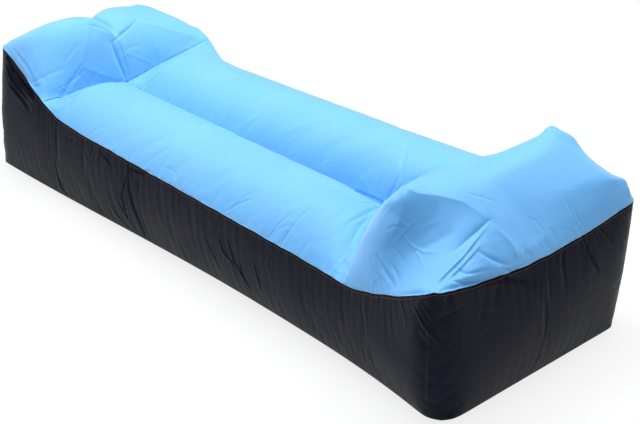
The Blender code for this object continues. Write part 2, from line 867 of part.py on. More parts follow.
def addWebs(skin, body, black):
    reach = clothWall / 2 + seamGap
    alongWall = Vector((0.0, clothWall / 2, 0.0))
    acrossWall = Vector((clothWall / 2, 0.0, 0.0))
    seatTops = [innerAt(skin, point) for point in seatMiddleLine()]
    columns = lengthwiseColumns(seatTops, headCreasePlace + reach, footCreasePlace - reach)
    mesh = webMesh("centre_web", columns, alongWall)
    centreWeb = addObject("centre_web", mesh, black, body, Vector())
    seatLength = footCreasePlace - headCreasePlace
    middle = grooveHeight * ventHeightShare
    places = [Vector((headCreasePlace + seatLength * share, 0.0, middle)) for share in seatVentShares]
    cutVents(centreWeb, places, ventRadius, True)

    headTops = [innerAt(skin, point) for point in headMiddleLine()]
    start = headTops[0].x + webMouthSetback
    columns = lengthwiseColumns(headTops, start, headCreasePlace - reach)
    mesh = webMesh("head_centre_web", columns, alongWall)
    headCentre = addObject("head_centre_web", mesh, black, body, Vector())
    place = Vector((start + (headCreasePlace - start) * mouthVentShare, 0.0, middle))
    cutVents(headCentre, [place], headVentRadius, True)

    columns = crosswiseColumns(skin, headCreaseLine, headRows)
    headWeb = addObject("head_web", webMesh("head_web", columns, acrossWall), black, body, Vector())
    places = [Vector((headCreasePlace, share * seatSeamWidth / 2, middle)) for share in headVentShares]
    cutVents(headWeb, places, headVentRadius, False)

    columns = crosswiseColumns(skin, footCreaseLine, headRows + seatRows)
    footWeb = addObject("foot_web", webMesh("foot_web", columns, acrossWall), black, body, Vector())
    places = []
    for share in footVentShares:
        x = footCreaseAt(share, abs(share))
        places.append(Vector((x, share * seatSeamWidth / 2, middle)))
    cutVents(footWeb, places, ventRadius, False)


# A solid swept through flat sections that all have the same number of points
def sweptMesh(name, sections):
    bm = bmesh.new()
    loops = [[bm.verts.new(point) for point in section] for section in sections]
    count = len(loops[0])
    for first, second in zip(loops, loops[1:]):
        for place in range(count):
            after = (place + 1) % count
            bm.faces.new((first[place], first[after], second[after], second[place]))
    bm.faces.new(loops[0])
    bm.faces.new(loops[-1][::-1])
    return meshFrom(name, bm)


def ringPoint(angle, reach, height):
    radius = ringRadius + reach
    return Vector((radius * cos(angle), radius * sin(angle), height))


def ringAngles():
    steps = round(ringEndAngle / ringStep)
    return [step * ringStep for step in range(-steps, steps + 1)]


# The two lips wound together round the strips: the middle of the double cloth and its outward side
def rollSpiral():
    stepsInTurn = 2 * (rollArcSteps + 1)
    line = []
    for half in range(1, rollHalfTurns + 1):
        end = 1 if half % 2 == 0 else -1
        for step in range(rollArcSteps + 1):
            angle = pi * half + pi * step / rollArcSteps
            reach = rollStart + rollPitch * len(line) / stepsInTurn
            outward = Vector((cos(angle), sin(angle)))
            line.append((Vector((0.0, end * stripHeight / 2)) + outward * reach, outward))
    reach = rollStart + rollPitch * len(line) / stepsInTurn
    line.append((Vector((reach, slitHalfHeight)), Vector((1.0, 0.0))))
    return line


def addRoll(ring, black, plastic):
    spiral = rollSpiral()
    stepsInTurn = 2 * (rollArcSteps + 1)
    gaps = [
        (second[0] - first[0]).length - 2 * clothWall
        for first, second in zip(spiral, spiral[stepsInTurn:])
    ]
    print("least gap between turns of the rolled mouth, mm:", round(1000 * min(gaps), 2))
    outer = [point + outward * clothWall for point, outward in spiral]
    inner = [point - outward * clothWall for point, outward in spiral]
    section = outer + inner[::-1]
    sections = [[ringPoint(angle, point.x, point.y) for point in section] for angle in ringAngles()]
    addObject("mouth_roll", sweptMesh("mouth_roll", sections), black, ring, Vector())
    for name, side in (("lip_strip_outer", 1), ("lip_strip_inner", -1)):
        near = side * rollGap / 2
        far = side * (rollGap / 2 + stripThickness)
        half = stripHeight / 2
        section = ((near, -half), (far, -half), (far, half), (near, half))
        sections = [[ringPoint(angle, reach, height) for reach, height in section] for angle in ringAngles()]
        addObject(name, sweptMesh(name, sections), plastic, ring, Vector())


def tangentAngle(centre, radius, point, turn):
    away = point - centre
    return atan2(away.y, away.x) + turn * acos(radius / away.length)


# A strap folded round a buckle bar, its two legs sewn together where they leave the roll
def strapMesh(name, bar, angle):
    sign = 1 if angle > 0 else -1
    along = Vector((-sin(angle), cos(angle))) * sign
    radial = Vector((cos(angle), sin(angle)))
    anchor = radial * ringRadius + along * seamGap
    ends = (anchor + radial * webbingThickness, anchor - radial * webbingThickness)
    outerRadius = wrapRadius + webbingThickness
    first = tangentAngle(bar, outerRadius, ends[0], sign)
    second = tangentAngle(bar, outerRadius, ends[1], -sign)
    sweep = (second - first) % (2 * pi) if sign > 0 else -((first - second) % (2 * pi))
    turns = [first + sweep * step / wrapSteps for step in range(wrapSteps + 1)]
    normals = [Vector((cos(turn), sin(turn))) for turn in turns]
    outer = [ends[0]] + [bar + normal * outerRadius for normal in normals] + [ends[1]]
    inner = [bar + normal * wrapRadius for normal in normals]
    crossing = legCrossing(inner[0], outer[1] - outer[0], inner[-1], outer[-2] - outer[-1])
    inner = [crossing] + inner + [crossing]
    return strapSolid(name, outer, inner)


def legCrossing(firstPoint, firstRun, secondPoint, secondRun):
    across = firstRun.x * secondRun.y - firstRun.y * secondRun.x
    apart = secondPoint - firstPoint
    share = (apart.x * secondRun.y - apart.y * secondRun.x) / across
    return firstPoint + firstRun * share


def strapSolid(name, outer, inner):
    bm = bmesh.new()
    half = webbingWidth / 2
    levels = []
    for height in (-half, half):
        outerRow = [bm.verts.new((point.x, point.y, height)) for point in outer]
        innerRow = [bm.verts.new((point.x, point.y, height)) for point in inner[:-1]]
        innerRow.append(innerRow[0])
        levels.append((outerRow, innerRow))
        for place in range(len(outer) - 1):
            corners = [outerRow[place], outerRow[place + 1], innerRow[place + 1], innerRow[place]]
            bm.faces.new(corners)
        bm.faces.new((outerRow[-1], outerRow[0], innerRow[0]))
    for line in (0, 1):
        low = levels[0][line]
        high = levels[1][line]
        for place in range(len(low) - 1):
            bm.faces.new((low[place], low[place + 1], high[place + 1], high[place]))
    outerLow = levels[0][0]
    outerHigh = levels[1][0]
    bm.faces.new((outerLow[-1], outerLow[0], outerHigh[0], outerHigh[-1]))
    return meshFrom(name, bm)


def boxMesh(name, low, high):
    bm = bmesh.new()
    bmesh.ops.create_cube(bm, size=1.0)
    middle = (low + high) / 2
    size = high - low
    for vert in bm.verts:
        vert.co = Vector([vert.co[axis] * size[axis] + middle[axis] for axis in range(3)])
    return meshFrom(name, bm)


# A moulded block with round corners in its outline and softened edges
def mouldedBlock(name, low, high):
    mesh = boxMesh(name, low, high)
    bm = bmesh.new()
    bm.from_mesh(mesh)
    corners = [edge for edge in bm.edges if abs(edge.verts[0].co.x - edge.verts[1].co.x) > buckleEdge]
    bmesh.ops.bevel(bm, geom=corners, offset=buckleCorner, segments=4, profile=0.5, affect="EDGES")
    bm.normal_update()
    rims = [edge for edge in bm.edges if sum(abs(face.normal.x) > 0.9 for face in edge.link_faces) == 1]
    bmesh.ops.bevel(bm, geom=rims, offset=buckleEdge, segments=2, profile=0.5, affect="EDGES")
    bm.to_mesh(mesh)
    bm.free()
    return mesh


# The bar that a strap wraps is thinner than the frame that holds it
def relieveBar(obj, name, lowY, highY):
    slotHalf = webbingWidth / 2 + buckleClearance
    for label, side in (("outer", -1), ("inner", 1)):
        reach = sorted((side * barThickness / 2, side * buckleThickness))
        low = Vector((reach[0], lowY, -slotHalf))
        high = Vector((reach[1], highY, slotHalf))
        addCutter(obj, boxMesh(name + "_bar_" + label, low, high), "DIFFERENCE")


def addSocket(buckle, plastic):
    half = Vector((buckleThickness / 2, 0.0, buckleHalfWidth))
    low = Vector((-half.x, -socketBack, -half.z))
    high = Vector((half.x, socketMouth, half.z))
    socket = addObject("buckle_socket", mouldedBlock("buckle_socket", low, high), plastic, buckle, Vector())
    inner = buckleHalfWidth - cavityWall
    low = Vector((-cavityHeight / 2, -cavityDepth, -inner))
    high = Vector((cavityHeight / 2, socketMouth + cutOverrun, inner))
    addCutter(socket, boxMesh("socket_cavity", low, high), "DIFFERENCE")
    low = Vector((-cavityHeight / 2, -shoulderReach - windowLength, -half.z - cutOverrun))
    high = Vector((cavityHeight / 2, seamGap - shoulderReach, half.z + cutOverrun))
    addCutter(socket, boxMesh("socket_windows", low, high), "DIFFERENCE")
    slotHalf = webbingWidth / 2 + buckleClearance
    low = Vector((-half.x - cutOverrun, -cavityDepth - backWall - slotLength, -slotHalf))
    high = Vector((half.x + cutOverrun, -cavityDepth - backWall, slotHalf))
    addCutter(socket, boxMesh("socket_slot", low, high), "DIFFERENCE")
    relieveBar(socket, "socket", -socketBack - cutOverrun, barLength + slotLength / 2 - socketBack)


def addPlug(buckle, plastic):
    half = plugThickness / 2
    low = Vector((-half, plugBase, -buckleHalfWidth))
    high = Vector((half, plugBack, buckleHalfWidth))
    plug = addObject("buckle_plug", mouldedBlock("buckle_plug", low, high), plastic, buckle, Vector())
    slotHalf = webbingWidth / 2 + buckleClearance
    low = Vector((-half - cutOverrun, plugBase + plugNose, -slotHalf))
    high = Vector((half + cutOverrun, plugBase + plugNose + slotLength, slotHalf))
    addCutter(plug, boxMesh("plug_slot", low, high), "DIFFERENCE")
    relieveBar(plug, "plug", plugBack - barLength - slotLength / 2, plugBack + cutOverrun)
    low = Vector((-prongThickness / 2, plugBase - tongueLength, -tongueWidth / 2))
    high = Vector((prongThickness / 2, plugBase + plugNose / 2, tongueWidth / 2))
    addCutter(plug, boxMesh("plug_tongue", low, high), "UNION")
    for name, side in (("upper", 1), ("lower", -1)):
        bm = bmesh.new()
        radius = hingeRadius + seamGap
        made = bmesh.ops.create_cone(
            bm, cap_ends=True, segments=ventSides, radius1=radius, radius2=radius, depth=2 * plugThickness
        )
        for vert in made["verts"]:
            x, y, z = vert.co
            vert.co = Vector((z, y + plugBase + hingeSetback, side * prongRoot - x))
        addCutter(plug, meshFrom(name + "_prong_seat", bm), "DIFFERENCE")
    return plug


# A springy prong, outlined from its pivot: root, arm, hook and slanted nose
def prongMesh(name, side):
    start = -hingeSetback - armGap
    shoulder = -shoulderReach - plugBase - hingeSetback
    tip = -prongReach - plugBase - hingeSetback
    half = prongWidth / 2
    spread = asin(hingeNeck / 2 / hingeRadius)
    turns = [spread + 2 * (pi - spread) * step / rootSteps for step in range(rootSteps + 1)]
    outline = [(-hingeRadius * cos(turn), -hingeRadius * sin(turn)) for turn in turns]
    outline += [
        (start, hingeNeck / 2),
        (start, half),
        (shoulder, half),
        (shoulder, half + hookDepth),
        (tip, half - prongWidth + prongTip),
        (tip, -half),
        (start, -half),
        (start, -hingeNeck / 2),
    ]
    sections = []
    for x in (-prongThickness / 2, prongThickness / 2):
        sections.append([Vector((x, y, side * z)) for y, z in outline])
    return sweptMesh(name, sections)


def addBuckle(ring, plastic):
    buckle = addEmpty("buckle", Vector((-ringRadius, 0.0, 0.0)))
    buckle.parent = ring
    addSocket(buckle, plastic)
    plug = addPlug(buckle, plastic)
    for name, side in (("upper_prong", 1), ("lower_prong", -1)):
        pivot = Vector((0.0, plugBase + hingeSetback, side * prongRoot))
        addObject(name, prongMesh(name, side), plastic, plug, pivot)


def addStraps(ring, black):
    socketBar = Vector((-ringRadius, barLength / 2 - socketBack))
    plugBar = Vector((-ringRadius, plugBack - barLength / 2))
    mesh = strapMesh("socket_webbing", socketBar, -ringEndAngle)
    addObject("socket_webbing", mesh, black, ring, Vector())
    mesh = strapMesh("plug_webbing", plugBar, ringEndAngle)
    addObject("plug_webbing", mesh, black, ring, Vector())


def main():
    clearScene()
    blue = clothMaterial("coated blue polyester", (0.26, 0.62, 0.93), 0.5)
    black = clothMaterial("coated black polyester", (0.022, 0.023, 0.03), 0.45)
    webbing = clothMaterial("black webbing", (0.015, 0.015, 0.017), 0.8)
    plastic = clothMaterial("black moulded plastic", (0.018, 0.018, 0.02), 0.35)
    skin, ringCentre = buildSkin()
    body = addEmpty("body", Vector())
    addPanels(skin, body, blue, black)
    addWebs(skin, body, black)
    skin.free()
    ring = addEmpty("mouth_ring", Vector((ringCentre, 0.0, mouthHeight)))
    ring.parent = body
    addRoll(ring, black, plastic)
    addStraps(ring, webbing)
    addBuckle(ring, plastic)


main()
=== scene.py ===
from math import cos, pi, radians, sin

import bmesh
import bpy
import numpy as np
from mathutils import Matrix, Vector, kdtree, noise
from mathutils.bvhtree import BVHTree


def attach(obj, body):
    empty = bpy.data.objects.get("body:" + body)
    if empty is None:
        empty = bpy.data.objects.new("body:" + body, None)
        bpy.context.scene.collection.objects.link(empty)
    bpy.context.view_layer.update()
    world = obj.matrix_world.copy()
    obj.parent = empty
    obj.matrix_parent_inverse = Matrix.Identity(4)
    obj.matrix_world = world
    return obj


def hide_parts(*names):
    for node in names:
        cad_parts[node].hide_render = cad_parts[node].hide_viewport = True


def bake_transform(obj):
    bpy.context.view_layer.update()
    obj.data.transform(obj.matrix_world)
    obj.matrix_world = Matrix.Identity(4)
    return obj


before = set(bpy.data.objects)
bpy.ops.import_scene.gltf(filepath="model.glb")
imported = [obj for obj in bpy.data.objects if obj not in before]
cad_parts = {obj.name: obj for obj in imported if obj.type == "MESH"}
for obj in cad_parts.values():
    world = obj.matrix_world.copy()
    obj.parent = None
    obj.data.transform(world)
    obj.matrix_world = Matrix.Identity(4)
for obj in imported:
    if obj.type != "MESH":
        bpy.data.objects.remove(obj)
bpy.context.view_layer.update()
scene = bpy.context.scene
print("frame loaded")


# colours are written as sRGB hex and turned to linear here
def linearColour(hexValue):
    values = []
    for shift in (16, 8, 0):
        part = ((hexValue >> shift) & 255) / 255
        values.append(part / 12.92 if part <= 0.04045 else ((part + 0.055) / 1.055) ** 2.4)
    return (*values, 1.0)


# adds a node, gives its settings and input values, and links the inputs that come from sockets
def addNode(tree, kind, settings=None, inputs=None):
    node = tree.nodes.new(kind)
    for name, value in (settings or {}).items():
        setattr(node, name, value)
    for name, value in (inputs or {}).items():
        if isinstance(value, bpy.types.NodeSocket):
            tree.links.new(value, node.inputs[name])
        else:
            node.inputs[name].default_value = value
    return node


# camera and studio

cameraSetup = {
    "place": (3.0156, -2.3348, 2.0468),
    "azimuth": radians(49.87),
    "pitch": radians(27.48),
    "roll": radians(-1.843),
    "lens": 75.94,
    "sensor": 36.0,
    "imageWidth": 640,
    "imageHeight": 424,
    "clipEnd": 60.0,
}


def cameraAxes(setup):
    a, e = setup["azimuth"], setup["pitch"]
    forward = -Vector((sin(a) * cos(e), -cos(a) * cos(e), sin(e)))
    level = forward.cross(Vector((0, 0, 1))).normalized()
    above = level.cross(forward)
    right = cos(setup["roll"]) * level + sin(setup["roll"]) * above
    up = -sin(setup["roll"]) * level + cos(setup["roll"]) * above
    return right, up, forward


def addCamera(setup):
    right, up, forward = cameraAxes(setup)
    data = bpy.data.cameras.new("camera")
    data.sensor_width = setup["sensor"]
    data.lens = setup["lens"]
    data.clip_end = setup["clipEnd"]
    camera = bpy.data.objects.new("camera", data)
    turn = Matrix((right, up, -forward)).transposed().to_4x4()
    camera.matrix_world = Matrix.Translation(setup["place"]) @ turn
    scene.collection.objects.link(camera)
    scene.camera = camera


addCamera(cameraSetup)

studioSetup = {
    "floorColour": 0xF4F5F6,
    "floorRoughness": 0.85,
    "floorSize": 24.0,
    "floorWhite": 0.80,      # the part of the floor's look that stays white in a shadow
    "worldColour": 0xEEF3F8,
    "worldStrength": 0.27,
    "aim": (0.0, 0.0, 0.25),
    "lamps": [
        {"name": "top", "place": (0.2, 0.6, 3.9), "size": 3.4, "power": 158, "colour": 0xFFFEFC},
        {"name": "head", "place": (-1.2, -0.2, 3.6), "size": 2.0, "power": 62, "colour": 0xFCFDFF},
        {"name": "headLow", "place": (-3.4, 0.2, 2.0), "size": 2.0, "power": 22, "colour": 0xFBFDFF},
        {"name": "far", "place": (0.5, 3.2, 2.6), "size": 2.6, "power": 20, "colour": 0xFBFDFF},
        {"name": "near", "place": (-1.2, -4.2, 1.8), "size": 2.4, "power": 6, "colour": 0xC8D8FF},
    ],
}


def addStudio(setup):
    bm = bmesh.new()
    bmesh.ops.create_grid(bm, x_segments=1, y_segments=1, size=setup["floorSize"] / 2)
    mesh = bpy.data.meshes.new("floor")
    bm.to_mesh(mesh)
    bm.free()
    floor = bpy.data.objects.new("floor", mesh)
    scene.collection.objects.link(floor)
    mesh.materials.append(floorMaterial(setup))
    world = bpy.data.worlds.new("studio")
    scene.world = world
    world.use_nodes = True
    tree = world.node_tree
    tree.nodes.clear()
    lit = addNode(tree, "ShaderNodeBackground", None, {
        "Color": linearColour(setup["worldColour"]),
        "Strength": setup["worldStrength"],
    })
    white = addNode(tree, "ShaderNodeBackground", None, {"Color": (1, 1, 1, 1), "Strength": 1.0})
    path = addNode(tree, "ShaderNodeLightPath")
    mix = addNode(tree, "ShaderNodeMixShader", None, {
        0: path.outputs["Is Camera Ray"],
        1: lit.outputs[0],
        2: white.outputs[0],
    })
    addNode(tree, "ShaderNodeOutputWorld", None, {"Surface": mix.outputs[0]})
    for lamp in setup["lamps"]:
        data = bpy.data.lights.new(lamp["name"], "AREA")
        data.shape = "SQUARE"
        data.size = lamp["size"]
        data.energy = lamp["power"]
        data.color = linearColour(lamp["colour"])[:3]
        obj = bpy.data.objects.new(lamp["name"], data)
        aim = Vector(setup["aim"]) - Vector(lamp["place"])
        turn = aim.to_track_quat("-Z", "Y").to_matrix().to_4x4()
        obj.matrix_world = Matrix.Translation(lamp["place"]) @ turn
        scene.collection.objects.link(obj)


# painted studio floor, matt and almost white: the camera sees it as white, with a faint shadow
def floorMaterial(setup):
    material = bpy.data.materials.new("mattStudioPaint")
    material.use_nodes = True
    tree = material.node_tree
    tree.nodes.clear()
    paint = addNode(tree, "ShaderNodeBsdfPrincipled", None, {
        "Base Color": linearColour(setup["floorColour"]),
        "Roughness": setup["floorRoughness"],
        "Specular IOR Level": 0.2,
    })
    white = addNode(tree, "ShaderNodeEmission", None, {"Color": (1, 1, 1, 1), "Strength": 1.0})
    path = addNode(tree, "ShaderNodeLightPath")
    seen = path.outputs["Is Camera Ray"]
    for other in ("Is Glossy Ray", "Is Transmission Ray"):
        seen = addNode(tree, "ShaderNodeMath", {"operation": "ADD", "use_clamp": True}, {
            0: seen,
            1: path.outputs[other],
        }).outputs[0]
    part = addNode(tree, "ShaderNodeMath", {"operation": "MULTIPLY"}, {
        0: seen,
        1: setup["floorWhite"],
    }).outputs[0]
    mix = addNode(tree, "ShaderNodeMixShader", None, {0: part, 1: paint.outputs[0], 2: white.outputs[0]})
    addNode(tree, "ShaderNodeOutputMaterial", None, {"Surface": mix.outputs[0]})
    return material


addStudio(studioSetup)
scene.view_settings.view_transform = "Standard"
print("camera and studio set")


# the blown-up skin: the outer faces of the cloth panels, sewn into one mesh

skinSetup = {
    "panels": [
        "head_lobe_near", "head_lobe_far", "seat_tube_near", "seat_tube_far", "foot_bolster",
        "side_panel_near", "side_panel_far", "head_end_panel", "foot_end_panel", "mouth_neck",
        "bottom_panel",
    ],
    "blueCount": 5,          # the first panels are the blue top
    "merge": 0.000005,
    "rimEdge": 0.0017,       # a panel's cut edge has an edge no longer than this
    "seamReach": 0.0007,     # neighbouring panels are this close at a seam
    "middle": Vector((0.0, 0.0, 0.15)),
    "halfMiddle": 0.9,       # the middle line of the air chamber runs this far both ways
    "mouthHeight": 0.200,
    "cuts": ((0.1, 2), (0.062, 1)),   # edges longer than this get so many cuts, in turn
    "ridgeFrom": radians(14),
    "ridgeRange": radians(30),
    "ridgeMost": 0.75,
    "levels": 2,
}
blueCount = skinSetup["blueCount"]
bottomNumber = len(skinSetup["panels"]) - 1
neckNumber = bottomNumber - 1
# two loose triangles join into a quad where they lie no more askew than this
quadAngles = {"angle_face_threshold": radians(50), "angle_shape_threshold": radians(60)}


def nodeMesh(name):
    bm = bmesh.new()
    bm.from_mesh(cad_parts[name].data)
    bmesh.ops.remove_doubles(bm, verts=bm.verts[:], dist=skinSetup["merge"])
    return bm


# keeps the outer face of a cloth panel and drops its cut edge and its inner face
def outerSheet(name, number, setup):
    bm = nodeMesh(name)
    thin = [f for f in bm.faces if min(e.calc_length() for e in f.edges) < setup["rimEdge"]]
    bmesh.ops.delete(bm, geom=thin, context="FACES")
    left = set(bm.faces)
    inner = []
    while left:
        seed = left.pop()
        part, queue = [seed], [seed]
        while queue:
            face = queue.pop()
            for edge in face.edges:
                for other in edge.link_faces:
                    if other in left:
                        left.discard(other)
                        part.append(other)
                        queue.append(other)
        flux = 0.0
        for face in part:
            centre = face.calc_center_median()
            away = centre - setup["middle"]
            away.x -= min(max(centre.x, -setup["halfMiddle"]), setup["halfMiddle"])
            if name == "mouth_neck":
                away = Vector((0.0, 0.0, centre.z - setup["mouthHeight"]))
            flux += face.normal.dot(away) * face.calc_area()
        if flux < 0:
            inner += part
    bmesh.ops.delete(bm, geom=inner, context="FACES")
    for face in bm.faces:
        face.material_index = number
    return bm


def sewSkin(setup):
    bm = bmesh.new()
    for number, name in enumerate(setup["panels"][:-1]):
        part = outerSheet(name, number, setup)
        mesh = bpy.data.meshes.new("part")
        part.to_mesh(mesh)
        part.free()
        bm.from_mesh(mesh)
        bpy.data.meshes.remove(mesh)
    rims = [v for v in bm.verts if v.is_boundary]
    bmesh.ops.remove_doubles(bm, verts=rims, dist=setup["seamReach"])
    hem = [e for e in bm.edges if e.is_boundary and max(v.co.z for v in e.verts) < setup["seamReach"]]
    made = bmesh.ops.edgeloop_fill(bm, edges=hem, mat_nr=bottomNumber, use_smooth=True)["faces"]
    for vertex in made[0].verts:
        vertex.co.z = 0.0
    if made[0].normal.z > 0:
        bmesh.ops.reverse_faces(bm, faces=made)
    bmesh.ops.triangulate(bm, faces=made, quad_method="BEAUTY", ngon_method="BEAUTY")
    bmesh.ops.join_triangles(bm, faces=bm.faces[:], cmp_materials=True, **quadAngles)
    for longest, cuts in setup["cuts"]:
        runs = [e for e in bm.edges if e.calc_length() > longest and not onBottom(e)]
        bmesh.ops.subdivide_edges(bm, edges=runs, cuts=cuts, use_grid_fill=True)
    quads = sum(len(f.verts) == 4 for f in bm.faces)
    gaps = sum(e.is_boundary for e in bm.edges)
    print("sewn skin:", len(bm.faces), "faces,", quads, "quads,", gaps, "open edges")
    return bm


def onBottom(edge):
    return all(face.material_index == bottomNumber for face in edge.link_faces)


# seams and creases between panels stay sharp, and a ridge inside a panel stays nearly so
def markSeams(bm, ridges):
    layer = bm.edges.layers.float.get("crease_edge") or bm.edges.layers.float.new("crease_edge")
    for edge in bm.edges:
        numbers = {f.material_index for f in edge.link_faces}
        edge[layer] = 1.0 if len(numbers) > 1 or edge.is_boundary else 0.0
        if ridges and len(numbers) == 1 and len(edge.link_faces) == 2:
            turn = edge.calc_face_angle_signed(0.0)
            sharp = (turn - skinSetup["ridgeFrom"]) / skinSetup["ridgeRange"]
            edge[layer] = min(max(sharp, 0.0), skinSetup["ridgeMost"])


def bakeModifiers(obj):
    graph = bpy.context.evaluated_depsgraph_get()
    mesh = bpy.data.meshes.new_from_object(obj.evaluated_get(graph))
    obj.modifiers.clear()
    old = obj.data
    obj.data = mesh
    bpy.data.meshes.remove(old)


def subdivide(obj, levels, ridges=False):
    bm = bmesh.new()
    bm.from_mesh(obj.data)
    markSeams(bm, ridges)
    bm.to_mesh(obj.data)
    bm.free()
    modifier = obj.modifiers.new("fine", "SUBSURF")
    modifier.levels = modifier.render_levels = levels
    modifier.boundary_smooth = "PRESERVE_CORNERS"
    bakeModifiers(obj)


def coordinates(mesh):
    values = np.empty(len(mesh.vertices) * 3)
    mesh.vertices.foreach_get("co", values)
    return values.reshape(-1, 3)


def setCoordinates(mesh, values):
    mesh.vertices.foreach_set("co", values.astype(np.float32).ravel())
    mesh.update()


sewn = sewSkin(skinSetup)
skinMesh = bpy.data.meshes.new("skin")
sewn.to_mesh(skinMesh)
sewn.free()
skin = bpy.data.objects.new("skin", skinMesh)
scene.collection.objects.link(skin)
subdivide(skin, skinSetup["levels"], True)
print("skin subdivided:", len(skin.data.vertices), "points")


# blowing up: the cloth is a little too wide beside its seams, which are held, so it puckers there

airSetup = {
    "pressure": 4.0,         # the cloth solver's own units, as are the next ones
    "frames": 20,
    "quality": 5,
    "mass": 0.15,
    "stretch": 12.0,
    "bending": 0.35,
    "slackReach": 0.09,      # how far from a seam the cloth is too wide
    "slackMiddle": -0.004,
    "slackSeam": -0.035,
    "slackBlack": 0.5,       # the black cloth is gathered less than the blue
    "cap": 0.010,            # no point moves farther than this
}


def panelNumbers(mesh):
    numbers = [set() for _ in mesh.vertices]
    for poly in mesh.polygons:
        for index in poly.vertices:
            numbers[index].add(poly.material_index)
    return numbers


def seamTree(mesh, numbers, wanted):
    indices = [i for i, found in enumerate(numbers) if wanted(found)]
    tree = kdtree.KDTree(len(indices))
    for i in indices:
        tree.insert(mesh.vertices[i].co, i)
    tree.balance()
    return tree


def blowUp(obj, setup):
    mesh = obj.data
    numbers = panelNumbers(mesh)
    tree = seamTree(mesh, numbers, lambda found: len(found) > 1)
    pin = obj.vertex_groups.new(name="pin")
    slack = obj.vertex_groups.new(name="slack")
    held = [i for i, found in enumerate(numbers) if len(found) > 1 or bottomNumber in found]
    held += [e for edge in openEdges(mesh) for e in edge]
    pin.add(sorted(set(held)), 1.0, "REPLACE")
    for vertex, found in zip(mesh.vertices, numbers):
        near = 1.0 - min(tree.find(vertex.co)[2] / setup["slackReach"], 1.0)
        share = 1.0 if min(found) < blueCount else setup["slackBlack"]
        slack.add([vertex.index], near * near * share, "REPLACE")
    start = coordinates(mesh)
    modifier = obj.modifiers.new("air", "CLOTH")
    cloth = modifier.settings
    cloth.quality = setup["quality"]
    cloth.mass = setup["mass"]
    cloth.tension_stiffness = cloth.compression_stiffness = setup["stretch"]
    cloth.shear_stiffness = setup["stretch"] / 2
    cloth.bending_stiffness = setup["bending"]
    cloth.use_pressure = True
    cloth.uniform_pressure_force = setup["pressure"]
    cloth.vertex_group_mass = "pin"
    cloth.vertex_group_shrink = "slack"
    cloth.shrink_min = setup["slackMiddle"]
    cloth.shrink_max = setup["slackSeam"]
    cloth.effector_weights.gravity = 0.0
    modifier.collision_settings.use_collision = False
    modifier.point_cache.frame_end = setup["frames"]
    for number in range(1, setup["frames"] + 1):
        scene.frame_set(number)
    graph = bpy.context.evaluated_depsgraph_get()
    moved = coordinates(obj.evaluated_get(graph).data)
    obj.modifiers.clear()
    scene.frame_set(1)
    step = moved - start
    length = np.linalg.norm(step, axis=1)
    longest, mean = 1000 * length.max(), 1000 * length.mean()
    print("cloth moved by up to", round(longest, 1), "mm, mean", round(mean, 2), "mm")
    limited = np.minimum(length, setup["cap"]) / np.maximum(length, 1e-9)
    setCoordinates(mesh, start + step * limited[:, None])


def openEdges(mesh):
    count = {}
    for poly in mesh.polygons:
        for edge in poly.edge_keys:
            count[edge] = count.get(edge, 0) + 1
    return [edge for edge, times in count.items() if times == 1]


blowUp(skin, airSetup)
subdivide(skin, 1)
print("skin blown up:", len(skin.data.vertices), "points")


# folds: lines drawn on the photograph's view, laid on the skin, that press it in or push it out

